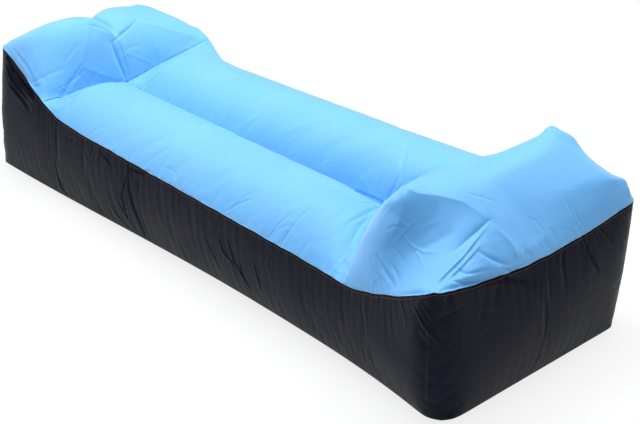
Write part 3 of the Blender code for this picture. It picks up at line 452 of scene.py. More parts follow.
foldSetup = {
    "spacing": 0.006,        # metres between the points of a fold's line
    "pixelStep": 2.5,        # pixels between the rays that lay a drawn line on the skin
    "keenness": 0.0011,      # how round the bottom of a fold is
    "lipPlace": 2.2,         # in widths from the fold's line
    "pressedWidths": 4.5,    # a fold moves nothing farther away than this many widths
    "fineReach": (0.009, 0.004),   # the mesh is made finer, and finer again, this close to a drawn fold
    "wrinkleReach": 0.005,   # and finer once this close to a short wrinkle
    "floorFade": 0.02,       # folds run out over this height above the floor
    "seamWave": {"height": 0.0028, "scale": 18.0, "reach": 0.05},
    "seed": 7,
    # wide soft presses that set the lobes and the bolster's corner as the photograph has them: depth, width
    # and the line's pixels
    "soft": [
        (0.020, 0.060, [(136, 9), (154, 13)]),
        (-0.006, 0.040, [(109, 11)]),
        (-0.008, 0.050, [(46, 30), (30, 38)]),
        (-0.010, 0.030, [(568, 138), (552, 131)]),
        (-0.006, 0.035, [(592, 168)]),
        (0.013, 0.036, [(620, 184)]),
    ],
    # depth, width, the raised lip beside the fold as a share of its depth, and the line's pixels
    "drawn": [
        # ridges between the flat places of the lobes and of the bolster's near hip
        (-0.006, 0.034, 0.0, [(88, 26), (87, 40), (84, 54), (81, 66)]),
        (-0.003, 0.014, 0.0, [(81, 66), (98, 73), (116, 79)]),
        (-0.005, 0.024, 0.0, [(109, 8), (122, 15), (135, 22)]),
        (-0.005, 0.036, 0.0, [(135, 22), (148, 34), (156, 48), (158, 60)]),
        (-0.007, 0.022, 0.0, [(135, 22), (160, 28), (185, 35), (200, 40)]),
        (-0.010, 0.030, 0.0, [(403, 189), (418, 195), (440, 198), (462, 203), (478, 213), (489, 222)]),
        (-0.006, 0.020, 0.0, [(403, 189), (404, 202), (400, 220), (390, 240)]),
        (-0.005, 0.020, 0.0, [(404, 188), (440, 174), (485, 157), (520, 140), (550, 127)]),
        (-0.005, 0.018, 0.0, [(500, 232), (512, 246), (520, 262)]),
        # pinched folds where the near tube runs under the bolster
        (0.006, 0.014, 0.2, [(372, 212), (362, 224), (352, 240), (345, 256)]),
        (0.005, 0.005, 0.2, [(377, 256), (384, 270), (395, 288)]),
        (-0.004, 0.005, 0.1, [(380, 255), (383, 270), (388, 284)]),
        (0.003, 0.005, 0.2, [(390, 262), (397, 274), (400, 288)]),
        (0.003, 0.004, 0.3, [(370, 256), (374, 270), (384, 284)]),
        (0.003, 0.005, 0.3, [(352, 250), (346, 262), (350, 280)]),
        # creases that fan out from the end of the groove
        (0.003, 0.004, 0.3, [(384, 203), (360, 193), (335, 183)]),
        (0.0025, 0.004, 0.3, [(384, 204), (362, 203), (345, 199)]),
        (0.003, 0.005, 0.3, [(382, 206), (368, 212), (350, 222), (338, 236)]),
        (0.0025, 0.005, 0.3, [(386, 202), (394, 188), (401, 172), (407, 131)]),
        (0.0018, 0.004, 0.3, [(402, 186), (405, 160), (410, 132)]),
        # the pleat down the bolster's near hip
        (0.008, 0.010, 0.0, [(489, 221), (472, 235), (453, 251)]),
        (-0.004, 0.004, 0.2, [(489, 223), (480, 234), (464, 256), (446, 274), (430, 291)]),
        (0.003, 0.0035, 0.2, [(478, 240), (460, 262), (440, 282), (432, 291)]),
        (-0.003, 0.004, 0.2, [(480, 245), (462, 266), (444, 284)]),
        (0.0025, 0.0035, 0.2, [(476, 253), (462, 268), (448, 282)]),
        (0.004, 0.006, 0.2, [(478, 251), (490, 258), (508, 266)]),
        (0.003, 0.004, 0.3, [(456, 268), (466, 274), (492, 270)]),
        (0.003, 0.004, 0.3, [(448, 280), (462, 283), (478, 280)]),
        (0.004, 0.004, 0.3, [(500, 269), (512, 271), (524, 265)]),
        # crumpled cloth on the near hip
        (0.0012, 0.003, 0.15, [(391, 208), (400, 216), (412, 226)]),
        (-0.0012, 0.003, 0.15, [(414, 222), (404, 232), (394, 244)]),
        (-0.0015, 0.003, 0.15, [(402, 234), (412, 246), (424, 252), (437, 252)]),
        (-0.0012, 0.003, 0.15, [(414, 248), (420, 258), (425, 270)]),
        (0.0012, 0.003, 0.15, [(395, 248), (402, 258), (408, 268)]),
        (0.00108, 0.003, 0.15, [(386, 230), (396, 226), (406, 228)]),
        (0.00072, 0.004, 0.15, [(440, 252), (446, 240), (456, 232)]),
        # fine creases on the bolster's slope
        (0.00108, 0.003, 0.15, [(436, 179), (448, 181), (460, 184)]),
        (0.00108, 0.003, 0.15, [(464, 193), (484, 198), (499, 204)]),
        (0.0009, 0.003, 0.15, [(524, 216), (536, 221), (544, 232)]),
        (0.00132, 0.004, 0.15, [(556, 172), (566, 200), (580, 232)]),
        (0.00132, 0.003, 0.15, [(572, 206), (578, 218), (584, 228)]),
        (0.0012, 0.0035, 0.15, [(498, 152), (508, 148), (521, 153)]),
        (0.0012, 0.003, 0.15, [(500, 148), (512, 145), (522, 147)]),
        (0.0009, 0.004, 0.15, [(452, 138), (456, 155), (456, 168)]),
        # the head crease and the lobes
        (0.006, 0.004, 0.1, [(113, 42), (124, 32), (136, 22)]),
        (0.003, 0.005, 0.3, [(88, 25), (98, 27), (109, 31)]),
        (0.004, 0.007, 0.3, [(124, 81), (108, 84), (90, 90), (63, 103)]),
        (0.004, 0.006, 0.3, [(81, 66), (70, 84), (61, 98)]),
        (0.003, 0.004, 0.4, [(57, 108), (70, 97), (88, 91)]),
        (0.003, 0.004, 0.4, [(64, 116), (70, 104), (80, 98)]),
        (0.002, 0.004, 0.3, [(60, 88), (74, 80), (84, 70)]),
        (0.005, 0.007, 0.3, [(145, 87), (160, 74), (180, 58), (208, 50)]),
        (0.002, 0.004, 0.4, [(187, 54), (200, 57), (214, 60)]),
        (0.003, 0.005, 0.4, [(14, 50), (26, 66), (34, 82)]),
        (0.0015, 0.005, 0.3, [(30, 84), (50, 74), (66, 68)]),
        (0.0012, 0.004, 0.3, [(64, 64), (72, 52), (80, 42)]),
        (0.015, 0.008, 0.0, [(127, 81), (121, 62), (113, 43)]),
        # short wrinkles that run up from the near seam
        (0.00168, 0.004, 0.15, [(267, 239), (277, 226), (290, 214)]),
        (0.0024, 0.004, 0.15, [(281, 245), (290, 230), (298, 218), (311, 208)]),
        (0.0015, 0.0035, 0.15, [(226, 212), (238, 204), (252, 199)]),
        (0.0009, 0.004, 0.15, [(232, 208), (246, 196), (266, 188)]),
        (0.00132, 0.0035, 0.15, [(188, 137), (200, 133), (208, 129)]),
        (0.0012, 0.004, 0.15, [(146, 164), (162, 152), (180, 143)]),
        (0.0009, 0.004, 0.15, [(110, 126), (124, 118), (140, 114)]),
        (0.0009, 0.0035, 0.15, [(132, 150), (138, 142), (146, 138)]),
        (0.00132, 0.004, 0.15, [(265, 190), (290, 183), (312, 180), (330, 178)]),
        (0.00132, 0.004, 0.15, [(296, 194), (314, 187), (336, 184)]),
        (0.0012, 0.0035, 0.15, [(300, 178), (318, 177), (332, 182)]),
        (0.0009, 0.005, 0.15, [(318, 236), (334, 218), (352, 206)]),
        (0.0009, 0.004, 0.15, [(330, 252), (340, 238), (350, 228)]),
        # the black side: the crease near the head, its small branches and the glossy folds at the corner
        (0.005, 0.0042, 0.3, [(129, 160), (128, 176), (129, 190), (134, 208), (146, 237)]),
        (0.003, 0.004, 0.4, [(128, 172), (122, 196), (128, 220)]),
        (0.002, 0.004, 0.4, [(116, 196), (124, 212), (136, 228)]),
        (0.002, 0.0035, 0.4, [(110, 204), (120, 218), (128, 226)]),
        (0.003, 0.004, 0.5, [(130, 168), (138, 172), (150, 172)]),
        (0.003, 0.004, 0.4, [(58, 176), (62, 188), (68, 194)]),
        (0.010, 0.006, 0.7, [(8, 58), (16, 74), (34, 96)]),
        (-0.007, 0.007, 0.3, [(6, 66), (12, 82), (24, 96)]),
        (0.004, 0.006, 0.4, [(10, 84), (22, 98), (30, 110)]),
        (0.0025, 0.0035, 0.6, [(219, 236), (223, 250), (232, 262)]),
        (-0.0025, 0.0035, 0.5, [(226, 238), (234, 262), (246, 282)]),
        (0.0025, 0.0035, 0.5, [(240, 262), (243, 276), (252, 290)]),
        (0.0025, 0.0035, 0.4, [(254, 262), (258, 276), (262, 290)]),
        (0.0018, 0.004, 0.4, [(206, 236), (212, 252), (222, 270)]),
        (0.002, 0.0035, 0.5, [(100, 152), (106, 158), (112, 166)]),
        # the foot end
        (-0.003, 0.004, 0.4, [(414, 308), (424, 326), (438, 344)]),
        (0.0025, 0.004, 0.4, [(420, 306), (436, 332), (450, 350)]),
        (-0.0025, 0.004, 0.2, [(427, 296), (429, 340), (428, 398)]),
        (0.006, 0.008, 0.3, [(462, 286), (500, 276), (533, 282)]),
        (0.0035, 0.004, 0.5, [(582, 236), (590, 256), (598, 272)]),
        (0.003, 0.004, 0.4, [(598, 226), (606, 236), (612, 240)]),
        (0.0018, 0.005, 0.3, [(566, 238), (562, 262), (566, 290)]),
        (0.002, 0.006, 0.4, [(458, 300), (480, 312), (506, 316)]),
    ],
    # short seeded wrinkles that start at a seam, and longer ones on the sides that the photograph lacks
    "blueWrinkles": {
        "perMetre": 9, "reach": (0.03, 0.13), "depth": (0.0005, 0.0016), "width": (0.0026, 0.0045),
    },
    "blackWrinkles": {
        "perMetre": 13, "reach": (0.03, 0.10), "depth": (0.0005, 0.0018), "width": (0.0028, 0.0045),
    },
    "hiddenWrinkles": {
        "perMetre": 5, "reach": (0.07, 0.20), "depth": (0.0016, 0.0042), "width": (0.0035, 0.006),
    },
    # how far a wrinkle slants and bends, its lip, and how many of them are pressed in rather than out
    "slant": 0.45,
    "bend": 0.05,
    "wrinkleLip": 0.2,
    "inwardShare": 0.62,
    "outwardDepth": -0.7,
}


def pixelRay(setup, pixel):
    right, up, forward = cameraAxes(setup)
    focal = setup["lens"] / setup["sensor"] * setup["imageWidth"]
    across = pixel[0] - setup["imageWidth"] / 2
    down = pixel[1] - setup["imageHeight"] / 2
    return (forward * focal + right * across - up * down).normalized()


def skinTree(mesh):
    points = [vertex.co.copy() for vertex in mesh.vertices]
    return BVHTree.FromPolygons(points, [list(poly.vertices) for poly in mesh.polygons])


# a line of pixels becomes a line of points on the skin
def drawnLine(tree, pixels, spacing):
    line = []
    for first, second in zip(pixels, pixels[1:]):
        length = ((second[0] - first[0]) ** 2 + (second[1] - first[1]) ** 2) ** 0.5
        steps = max(2, int(length / foldSetup["pixelStep"]))
        for step in range(steps + (second == pixels[-1])):
            share = step / steps
            pixel = [first[axis] + (second[axis] - first[axis]) * share for axis in (0, 1)]
            hit = tree.ray_cast(Vector(cameraSetup["place"]), pixelRay(cameraSetup, pixel))[0]
            if hit is not None and (not line or (hit - line[-1]).length > spacing):
                line.append(hit)
    return line


# a wrinkle walks over the skin from a seam point, in a given direction
def walkedLine(tree, start, direction, length, spacing, bend):
    line = [start]
    heading = direction.normalized()
    for _ in range(max(3, int(length / spacing))):
        goal = line[-1] + heading * spacing
        place, normal = tree.find_nearest(goal)[:2]
        moved = place - line[-1]
        if moved.length < spacing * 0.3:
            break
        line.append(place)
        heading = (moved.normalized() + normal.cross(moved.normalized()) * bend).normalized()
    return line


# without a lip the press is a soft one, of the same depth all along
def pressFold(points, normals, shift, line, depth, width, lip=None):
    if not line:
        return
    line = np.array(line if len(line) > 1 else line * 2)
    reach = width * foldSetup["pressedWidths"]
    near = np.where(np.all((points > line.min(0) - reach) & (points < line.max(0) + reach), axis=1))[0]
    if not len(near):
        return
    part = points[near]
    best = np.full(len(near), 1e9)
    along = np.zeros(len(near))
    lengths = np.concatenate(([0.0], np.cumsum(np.linalg.norm(np.diff(line, axis=0), axis=1))))
    for index in range(len(line) - 1):
        start, run = line[index], line[index + 1] - line[index]
        size = max(run @ run, 1e-12)
        share = np.clip((part - start) @ run / size, 0.0, 1.0)
        away = np.linalg.norm(part - start - share[:, None] * run, axis=1)
        closer = away < best
        best = np.where(closer, away, best)
        along = np.where(closer, lengths[index] + share * np.sqrt(size), along)
    if lip is None:
        pressed, fade = -np.exp(-((best / width) ** 2)), 1.0
    else:
        # it fades towards its ends and widens along its line
        place = along / max(lengths[-1], 1e-9)
        fade = np.sin(np.pi * np.clip(place * 0.86 + 0.07, 0, 1)) ** 0.7
        width = width * (0.75 + 0.5 * place)
        keen = foldSetup["keenness"]
        pressed = -np.exp((keen - np.sqrt(best ** 2 + keen ** 2)) / width)
        pressed += lip * np.exp(-(((best - foldSetup["lipPlace"] * width) / width) ** 2))
    shift[near] += (depth * fade * pressed)[:, None] * normals[near]


def vertexNormals(mesh):
    values = np.empty(len(mesh.vertices) * 3)
    mesh.vertices.foreach_get("normal", values)
    return values.reshape(-1, 3)


# the seam edges that separate two kinds of panel, as start, end and inward direction on a panel
def seamStarts(mesh, wanted):
    faces = {}
    for poly in mesh.polygons:
        for key in poly.edge_keys:
            faces.setdefault(key, []).append(poly.index)
    starts = []
    for key, pair in faces.items():
        if len(pair) != 2:
            continue
        numbers = [mesh.polygons[index].material_index for index in pair]
        if numbers[0] == numbers[1]:
            continue
        for index, number in zip(pair, numbers):
            if wanted(number, numbers):
                a, b = (mesh.vertices[i].co for i in key)
                middle = (a + b) / 2
                inward = mesh.polygons[index].center - middle
                run = (b - a).normalized()
                inward = (inward - run * inward.dot(run)).normalized()
                starts.append((middle, inward, run, (b - a).length))
    return sorted(starts, key=lambda item: tuple(round(value, 6) for value in item[0]))


# cuts the faces near the lines in four, so that a keen fold stays keen
def refineNear(obj, lines, reach):
    near = kdtree.KDTree(sum(len(line) for line in lines))
    for line in lines:
        for point in line:
            near.insert(point, 0)
    near.balance()
    bm = bmesh.new()
    bm.from_mesh(obj.data)
    close = [face for face in bm.faces if near.find(face.calc_center_median())[2] < reach]
    edges = list({edge for face in close for edge in face.edges})
    bmesh.ops.subdivide_edges(bm, edges=edges, cuts=1, use_grid_fill=True)
    bm.to_mesh(obj.data)
    bm.free()
    print("skin made finer near", len(lines), "folds:", len(obj.data.vertices), "points")


# the seam between black and blue runs in slight waves, as a gathered seam does
def waveSeam(points, setup):
    numbers = panelNumbers(skin.data)
    edge = seamTree(skin.data, numbers, lambda found: min(found) < blueCount <= max(found) < bottomNumber)
    for index, point in enumerate(points):
        away = edge.find(point)[2]
        if away < setup["reach"]:
            share = (1 - away / setup["reach"]) ** 2
            points[index, 2] += share * setup["height"] * noise.noise(Vector(point) * setup["scale"])


def between(limits, share):
    return limits[0] + (limits[1] - limits[0]) * share


def seededWrinkles(mesh, tree, setup):
    random = np.random.default_rng(setup["seed"])
    hidden = ("side_panel_far", "head_end_panel")
    kinds = (
        ("blueWrinkles", lambda number, pair: number < blueCount),
        ("blackWrinkles", lambda number, pair: blueCount <= number and max(pair) < neckNumber),
        ("hiddenWrinkles", lambda number, pair: skinSetup["panels"][number] in hidden),
    )
    folds = []
    for name, wanted in kinds:
        wrinkles = setup[name]
        for middle, inward, run, length in seamStarts(mesh, wanted):
            if random.random() > wrinkles["perMetre"] * length:
                continue
            size = random.random() ** 1.8
            depth = between(wrinkles["depth"], size)
            width = between(wrinkles["width"], random.random())
            heading = inward + run * random.normal(0.0, setup["slant"])
            if random.random() >= setup["inwardShare"]:
                depth *= setup["outwardDepth"]
            bend = random.normal(0.0, setup["bend"])
            reach = between(wrinkles["reach"], size)
            line = walkedLine(tree, middle, heading, reach, setup["spacing"], bend)
            folds.append((line, depth, width, setup["wrinkleLip"]))
    return folds


def addFolds(obj, setup):
    mesh = obj.data
    tree = skinTree(mesh)
    points, normals = coordinates(mesh), vertexNormals(mesh)
    shift = np.zeros_like(points)
    for depth, width, pixels in setup["soft"]:
        pressFold(points, normals, shift, drawnLine(tree, pixels, setup["spacing"]), depth, width)
    points += shift
    waveSeam(points, setup["seamWave"])
    setCoordinates(mesh, points)
    tree = skinTree(mesh)
    drawn = [
        (drawnLine(tree, pixels, setup["spacing"]), depth, width, lip)
        for depth, width, lip, pixels in setup["drawn"]
    ]
    seeded = seededWrinkles(mesh, tree, setup)
    for reach in setup["fineReach"]:
        refineNear(obj, [fold[0] for fold in drawn], reach)
    refineNear(obj, [fold[0] for fold in seeded], setup["wrinkleReach"])
    points, normals = coordinates(mesh), vertexNormals(mesh)
    shift = np.zeros_like(points)
    for fold in drawn + seeded:
        pressFold(points, normals, shift, *fold)
    deepest = np.linalg.norm(shift, axis=1).max()
    fade = np.clip(points[:, 2] / setup["floorFade"], 0.0, 1.0)
    setCoordinates(mesh, points + shift * fade[:, None])
    print("folds:", len(drawn), "drawn,", len(seeded), "seeded, deepest", round(1000 * deepest, 1), "mm")


addFolds(skin, foldSetup)


# how far each point is from the seam between black and blue, for the stitched band, and from any seam
def storeSeamDistance(obj, farthest):
    mesh = obj.data
    numbers = panelNumbers(mesh)
    edge = seamTree(mesh, numbers, lambda found: min(found) < blueCount <= max(found))
    crease = seamTree(mesh, numbers, lambda found: len(found) > 1)
    for name, tree in (("seamDistance", edge), ("creaseDistance", crease)):
        values = [min(tree.find(vertex.co)[2], farthest) for vertex in mesh.vertices]
        mesh.attributes.new(name, "FLOAT", "POINT").data.foreach_set("value", values)


storeSeamDistance(skin, 0.2)
print("seam distances stored")


# cloth coordinates in metres, so that the threads run along and across each panel
def storeThreads(obj):
    mesh = obj.data
    layer = mesh.uv_layers.new(name="threads")
    points = coordinates(mesh)
    for poly in mesh.polygons:
        name = skinSetup["panels"][poly.material_index]
        if name.startswith("side"):
            axes = (0, 2)
        elif name.endswith("end_panel"):
            axes = (1, 2)
        else:
            axes = (0, 1)
        for loop in poly.loop_indices:
            point = points[mesh.loops[loop].vertex_index]
            layer.data[loop].uv = (point[axes[0]], point[axes[1]])


storeThreads(skin)


# materials

def newMaterial(name):
    material = bpy.data.materials.new(name)
    material.use_nodes = True
    material.node_tree.nodes.clear()
    return material, material.node_tree


# the scale at which a wave texture's bands lie one pitch apart
def waveScale(pitch):
    return 2 * pi / pitch / 20


taffetaSetup = {
    "blue": {
        "name": "coatedBlueTaffeta",
        "light": 0x73BBF5,
        "dark": 0x61B0F3,
        # edge: a paler blue within edgeReach of the black seam, a painted highlight along the blue's rim;
        # edgeHeight raises the rim a little
        "edge": 0x8AC8F8,
        "edgeReach": 0.0028,
        "edgeHeight": 0.0006,
        "roughness": 0.58,
        "specular": 0.35,
        "sheen": 0.50,
        "sheenColour": 0xD6EEFF,
        "sheenRoughness": 0.5,
        "threadPitch": 0.0014,   # real threads lie 0.12 mm apart, drawn coarser so that they show
        "threadDepth": 0.00003,
        "crinkle": 0.00055,
        "creaseLines": 0.00022,
        "puckers": 0.0026,
        "puckerScale": (42.0, 9.0, 14.0),
        "puckerReach": 0.13,
    },
    "black": {
        "name": "coatedBlackTaffeta",
        "light": 0x15162A,
        "dark": 0x0F101D,
        # edge: darker than the cloth, a painted shadow under the seam
        "edge": 0x0E0E15,
        "edgeReach": 0.0085,     # the seam allowance, a double cloth that stands a little proud; its darker edge colour is painted shadow under the seam
        "edgeHeight": 0.0006,
        "roughness": 0.44,
        "specular": 0.075,
        "sheen": 0.01,
        "sheenColour": 0x9FA8C0,
        "sheenRoughness": 0.40,
        "threadPitch": 0.0014,
        "threadDepth": 0.00003,
        "crinkle": 0.00060,
        "creaseLines": 0.00035,
        "puckers": 0.0022,
        "puckerScale": (26.0, 26.0, 9.0),
        "puckerReach": 0.16,
        "stitch": {"place": 0.0078, "half": 0.0010, "pitch": 0.0042, "height": 0.0004, "colour": 0x5A4136},
    },
}


# taffeta with a thin coating: a close plain weave, a soft gloss, and a crisp hand that keeps crinkles
def taffetaMaterial(setup):
    material, tree = newMaterial(setup["name"])
    place = addNode(tree, "ShaderNodeTexCoord").outputs["Object"]
    threads = addNode(tree, "ShaderNodeUVMap", {"uv_map": "threads"}).outputs[0]
    pitch = waveScale(setup["threadPitch"])
    warp = addNode(tree, "ShaderNodeTexWave", {"wave_type": "BANDS", "bands_direction": "X"}, {
        "Vector": threads, "Scale": pitch, "Distortion": 0.0,
    }).outputs["Fac"]
    weft = addNode(tree, "ShaderNodeTexWave", {"wave_type": "BANDS", "bands_direction": "Y"}, {
        "Vector": threads, "Scale": pitch, "Distortion": 0.0,
    }).outputs["Fac"]
    weave = addNode(tree, "ShaderNodeMath", {"operation": "MAXIMUM"}, {0: warp, 1: weft}).outputs[0]
    # crinkles of one to four centimetres, sharp on one side as in crisp cloth
    crinkle = addNode(tree, "ShaderNodeTexNoise", {"noise_type": "RIDGED_MULTIFRACTAL"}, {
        "Vector": place, "Scale": 24.0, "Detail": 2.0, "Roughness": 0.5,
        "Lacunarity": 2.1, "Offset": 0.75, "Gain": 1.0,
    }).outputs["Fac"]
    patches = addNode(tree, "ShaderNodeTexNoise", None, {
        "Vector": place, "Scale": 5.0, "Detail": 2.0,
    }).outputs["Fac"]
    patchy = addNode(tree, "ShaderNodeMapRange", {"interpolation_type": "SMOOTHSTEP"}, {
        "Value": patches, "From Min": 0.42, "From Max": 0.66, "To Min": 0.12, "To Max": 1.0,
    }).outputs[0]
    crinkled = addNode(tree, "ShaderNodeMath", {"operation": "MULTIPLY"}, {0: crinkle, 1: patchy}).outputs[0]
    # thin creases left from folding
    bent = addNode(tree, "ShaderNodeTexNoise", None, {
        "Vector": place, "Scale": 9.0, "Detail": 1.0,
    }).outputs["Color"]
    shifted = addNode(tree, "ShaderNodeMix", {"data_type": "VECTOR"}, {0: 0.10, 4: place, 5: bent}).outputs[1]
    cells = addNode(tree, "ShaderNodeTexVoronoi", {"feature": "DISTANCE_TO_EDGE"}, {
        "Vector": shifted, "Scale": 13.0, "Randomness": 1.0,
    }).outputs["Distance"]
    lines = addNode(tree, "ShaderNodeMapRange", None, {
        "Value": cells, "From Min": 0.0, "From Max": 0.05, "To Min": 1.0, "To Max": 0.0,
    }).outputs[0]
    fine = addNode(tree, "ShaderNodeTexNoise", None, {
        "Vector": place, "Scale": 3.2, "Detail": 3.0,
    }).outputs["Fac"]
    some = addNode(tree, "ShaderNodeMapRange", None, {
        "Value": fine, "From Min": 0.50, "From Max": 0.62, "To Min": 0.0, "To Max": 1.0,
    }).outputs[0]
    creases = addNode(tree, "ShaderNodeMath", {"operation": "MULTIPLY"}, {0: lines, 1: some}).outputs[0]

    # fine puckers that run away from the seams, long across them and narrow along them
    across = addNode(tree, "ShaderNodeMapping", None, {
        "Vector": place, "Scale": setup["puckerScale"],
    }).outputs[0]
    puckers = addNode(tree, "ShaderNodeTexNoise", None, {
        "Vector": across, "Scale": 1.0, "Detail": 2.0, "Roughness": 0.55, "Distortion": 0.4,
    }).outputs["Fac"]
    beside = addNode(tree, "ShaderNodeAttribute", {"attribute_name": "creaseDistance"}).outputs["Fac"]
    beside = addNode(tree, "ShaderNodeMapRange", {"interpolation_type": "SMOOTHSTEP"}, {
        "Value": beside, "From Min": 0.0, "From Max": setup["puckerReach"], "To Min": 1.0, "To Max": 0.12,
    }).outputs[0]
    puckers = addNode(tree, "ShaderNodeMath", {"operation": "MULTIPLY"}, {0: puckers, 1: beside}).outputs[0]

    distance = addNode(tree, "ShaderNodeAttribute", {"attribute_name": "seamDistance"}).outputs["Fac"]
    band = addNode(tree, "ShaderNodeMapRange", {"interpolation_type": "SMOOTHSTEP"}, {
        "Value": distance, "From Min": setup["edgeReach"] * 0.85, "From Max": setup["edgeReach"],
        "To Min": 1.0, "To Max": 0.0,
    }).outputs[0]
    tone = addNode(tree, "ShaderNodeMix", {"data_type": "RGBA"}, {
        0: patches, 6: linearColour(setup["dark"]), 7: linearColour(setup["light"]),
    }).outputs[2]
    # near the black and blue seam the colour turns to the edge colour: a painted highlight on the blue's rim,
    # a painted shadow under the seam on the black
    tone = addNode(tree, "ShaderNodeMix", {"data_type": "RGBA"}, {
        0: band, 6: tone, 7: linearColour(setup["edge"]),
    }).outputs[2]
    # painted shade: the hollows between the threads are darkened towards the dark colour
    hollowShade = addNode(tree, "ShaderNodeMapRange", None, {
        "Value": weave, "From Min": 0.5, "From Max": 1.0, "To Min": 0.35, "To Max": 0.0,
    }).outputs[0]
    tone = addNode(tree, "ShaderNodeMix", {"data_type": "RGBA"}, {
        0: hollowShade, 6: tone, 7: linearColour(setup["dark"]),
    }).outputs[2]
    bump = addNode(tree, "ShaderNodeBump", None, {
        "Height": weave, "Strength": 0.5, "Distance": setup["threadDepth"],
    }).outputs[0]
    heights = (
        (crinkled, setup["crinkle"]), (creases, setup["creaseLines"]),
        (puckers, setup["puckers"]), (band, setup["edgeHeight"]),
    )
    for height, depth in heights:
        bump = addNode(tree, "ShaderNodeBump", None, {
            "Height": height, "Strength": 1.0, "Distance": depth, "Normal": bump,
        }).outputs[0]
    if "stitch" in setup:
        thread = stitchLine(tree, distance, threads, setup["stitch"])
        tone = addNode(tree, "ShaderNodeMix", {"data_type": "RGBA"}, {
            0: thread, 6: tone, 7: linearColour(setup["stitch"]["colour"]),
        }).outputs[2]
        bump = addNode(tree, "ShaderNodeBump", None, {
            "Height": thread, "Strength": 1.0, "Distance": setup["stitch"]["height"], "Normal": bump,
        }).outputs[0]
    worn = addNode(tree, "ShaderNodeMapRange", None, {
        "Value": patches, "From Min": 0.3, "From Max": 0.7,
        "To Min": setup["roughness"] - 0.05, "To Max": setup["roughness"] + 0.06,
    }).outputs[0]
    cloth = addNode(tree, "ShaderNodeBsdfPrincipled", None, {
        "Base Color": tone,
        "Roughness": worn,
        "IOR": 1.50,
        "Specular IOR Level": setup["specular"],
        "Sheen Weight": setup["sheen"],
        "Sheen Roughness": setup["sheenRoughness"],
        "Sheen Tint": linearColour(setup["sheenColour"]),
        "Normal": bump,
    })
    addNode(tree, "ShaderNodeOutputMaterial", None, {"Surface": cloth.outputs[0]})
    return material


# a row of lock stitches at a fixed way below the seam
def stitchLine(tree, distance, threads, stitch):
    off = addNode(tree, "ShaderNodeMath", {"operation": "SUBTRACT"}, {
        0: distance, 1: stitch["place"],
    }).outputs[0]
    off = addNode(tree, "ShaderNodeMath", {"operation": "ABSOLUTE"}, {0: off}).outputs[0]
    row = addNode(tree, "ShaderNodeMapRange", None, {
        "Value": off, "From Min": stitch["half"] * 0.5, "From Max": stitch["half"],
        "To Min": 1.0, "To Max": 0.0,
    }).outputs[0]
    along = addNode(tree, "ShaderNodeSeparateXYZ", None, {0: threads}).outputs[0]
    turns = addNode(tree, "ShaderNodeMath", {"operation": "DIVIDE"}, {
        0: along, 1: stitch["pitch"],
    }).outputs[0]
    part = addNode(tree, "ShaderNodeMath", {"operation": "FRACT"}, {0: turns}).outputs[0]
    on = addNode(tree, "ShaderNodeMath", {"operation": "LESS_THAN"}, {0: part, 1: 0.78}).outputs[0]
    return addNode(tree, "ShaderNodeMath", {"operation": "MULTIPLY"}, {0: row, 1: on}).outputs[0]


blueTaffeta = taffetaMaterial(taffetaSetup["blue"])
blackTaffeta = taffetaMaterial(taffetaSetup["black"])

webbingSetup = {
    "colour": 0x17171A,
    "worn": 0x26262A,
    "ribPitch": 0.0021,      # ribs across the strap, about as far apart as in 25 mm webbing
    "yarnPitch": 0.0017,
    "ribHeight": 0.0004,
    "roughness": 0.72,
}


# polypropylene webbing: woven in rounded ribs, dull, a little paler on the crests of its ribs
def webbingMaterial(setup):
    material, tree = newMaterial("wovenPolypropyleneWebbing")
    place = addNode(tree, "ShaderNodeTexCoord").outputs["Object"]
    ribs = addNode(tree, "ShaderNodeTexWave", {"wave_type": "BANDS", "bands_direction": "Y"}, {
        "Vector": place, "Scale": waveScale(setup["ribPitch"]), "Distortion": 0.4,
        "Detail": 1.0, "Detail Scale": 40.0,
    }).outputs["Fac"]
    yarns = addNode(tree, "ShaderNodeTexWave", {"wave_type": "BANDS", "bands_direction": "Z"}, {
        "Vector": place, "Scale": waveScale(setup["yarnPitch"]), "Distortion": 0.3,
        "Detail": 1.0, "Detail Scale": 40.0,
    }).outputs["Fac"]
    woven = addNode(tree, "ShaderNodeMath", {"operation": "MULTIPLY"}, {0: ribs, 1: yarns}).outputs[0]
    tone = addNode(tree, "ShaderNodeMix", {"data_type": "RGBA"}, {
        0: woven, 6: linearColour(setup["colour"]), 7: linearColour(setup["worn"]),
    }).outputs[2]
    bump = addNode(tree, "ShaderNodeBump", None, {
        "Height": woven, "Strength": 1.0, "Distance": setup["ribHeight"],
    }).outputs[0]
    strap = addNode(tree, "ShaderNodeBsdfPrincipled", None, {
        "Base Color": tone, "Roughness": setup["roughness"], "IOR": 1.49,
        "Sheen Weight": 0.1, "Sheen Roughness": 0.5, "Normal": bump,
    })
    addNode(tree, "ShaderNodeOutputMaterial", None, {"Surface": strap.outputs[0]})
    return material


plasticSetup = {
    "colour": 0x18181B,
    "rubbed": 0x2A2A2E,
    "grain": 0.0007,         # spark-eroded grain of the mould, drawn a little coarse
    "grainDepth": 0.00006,
    "roughness": 0.42,
}


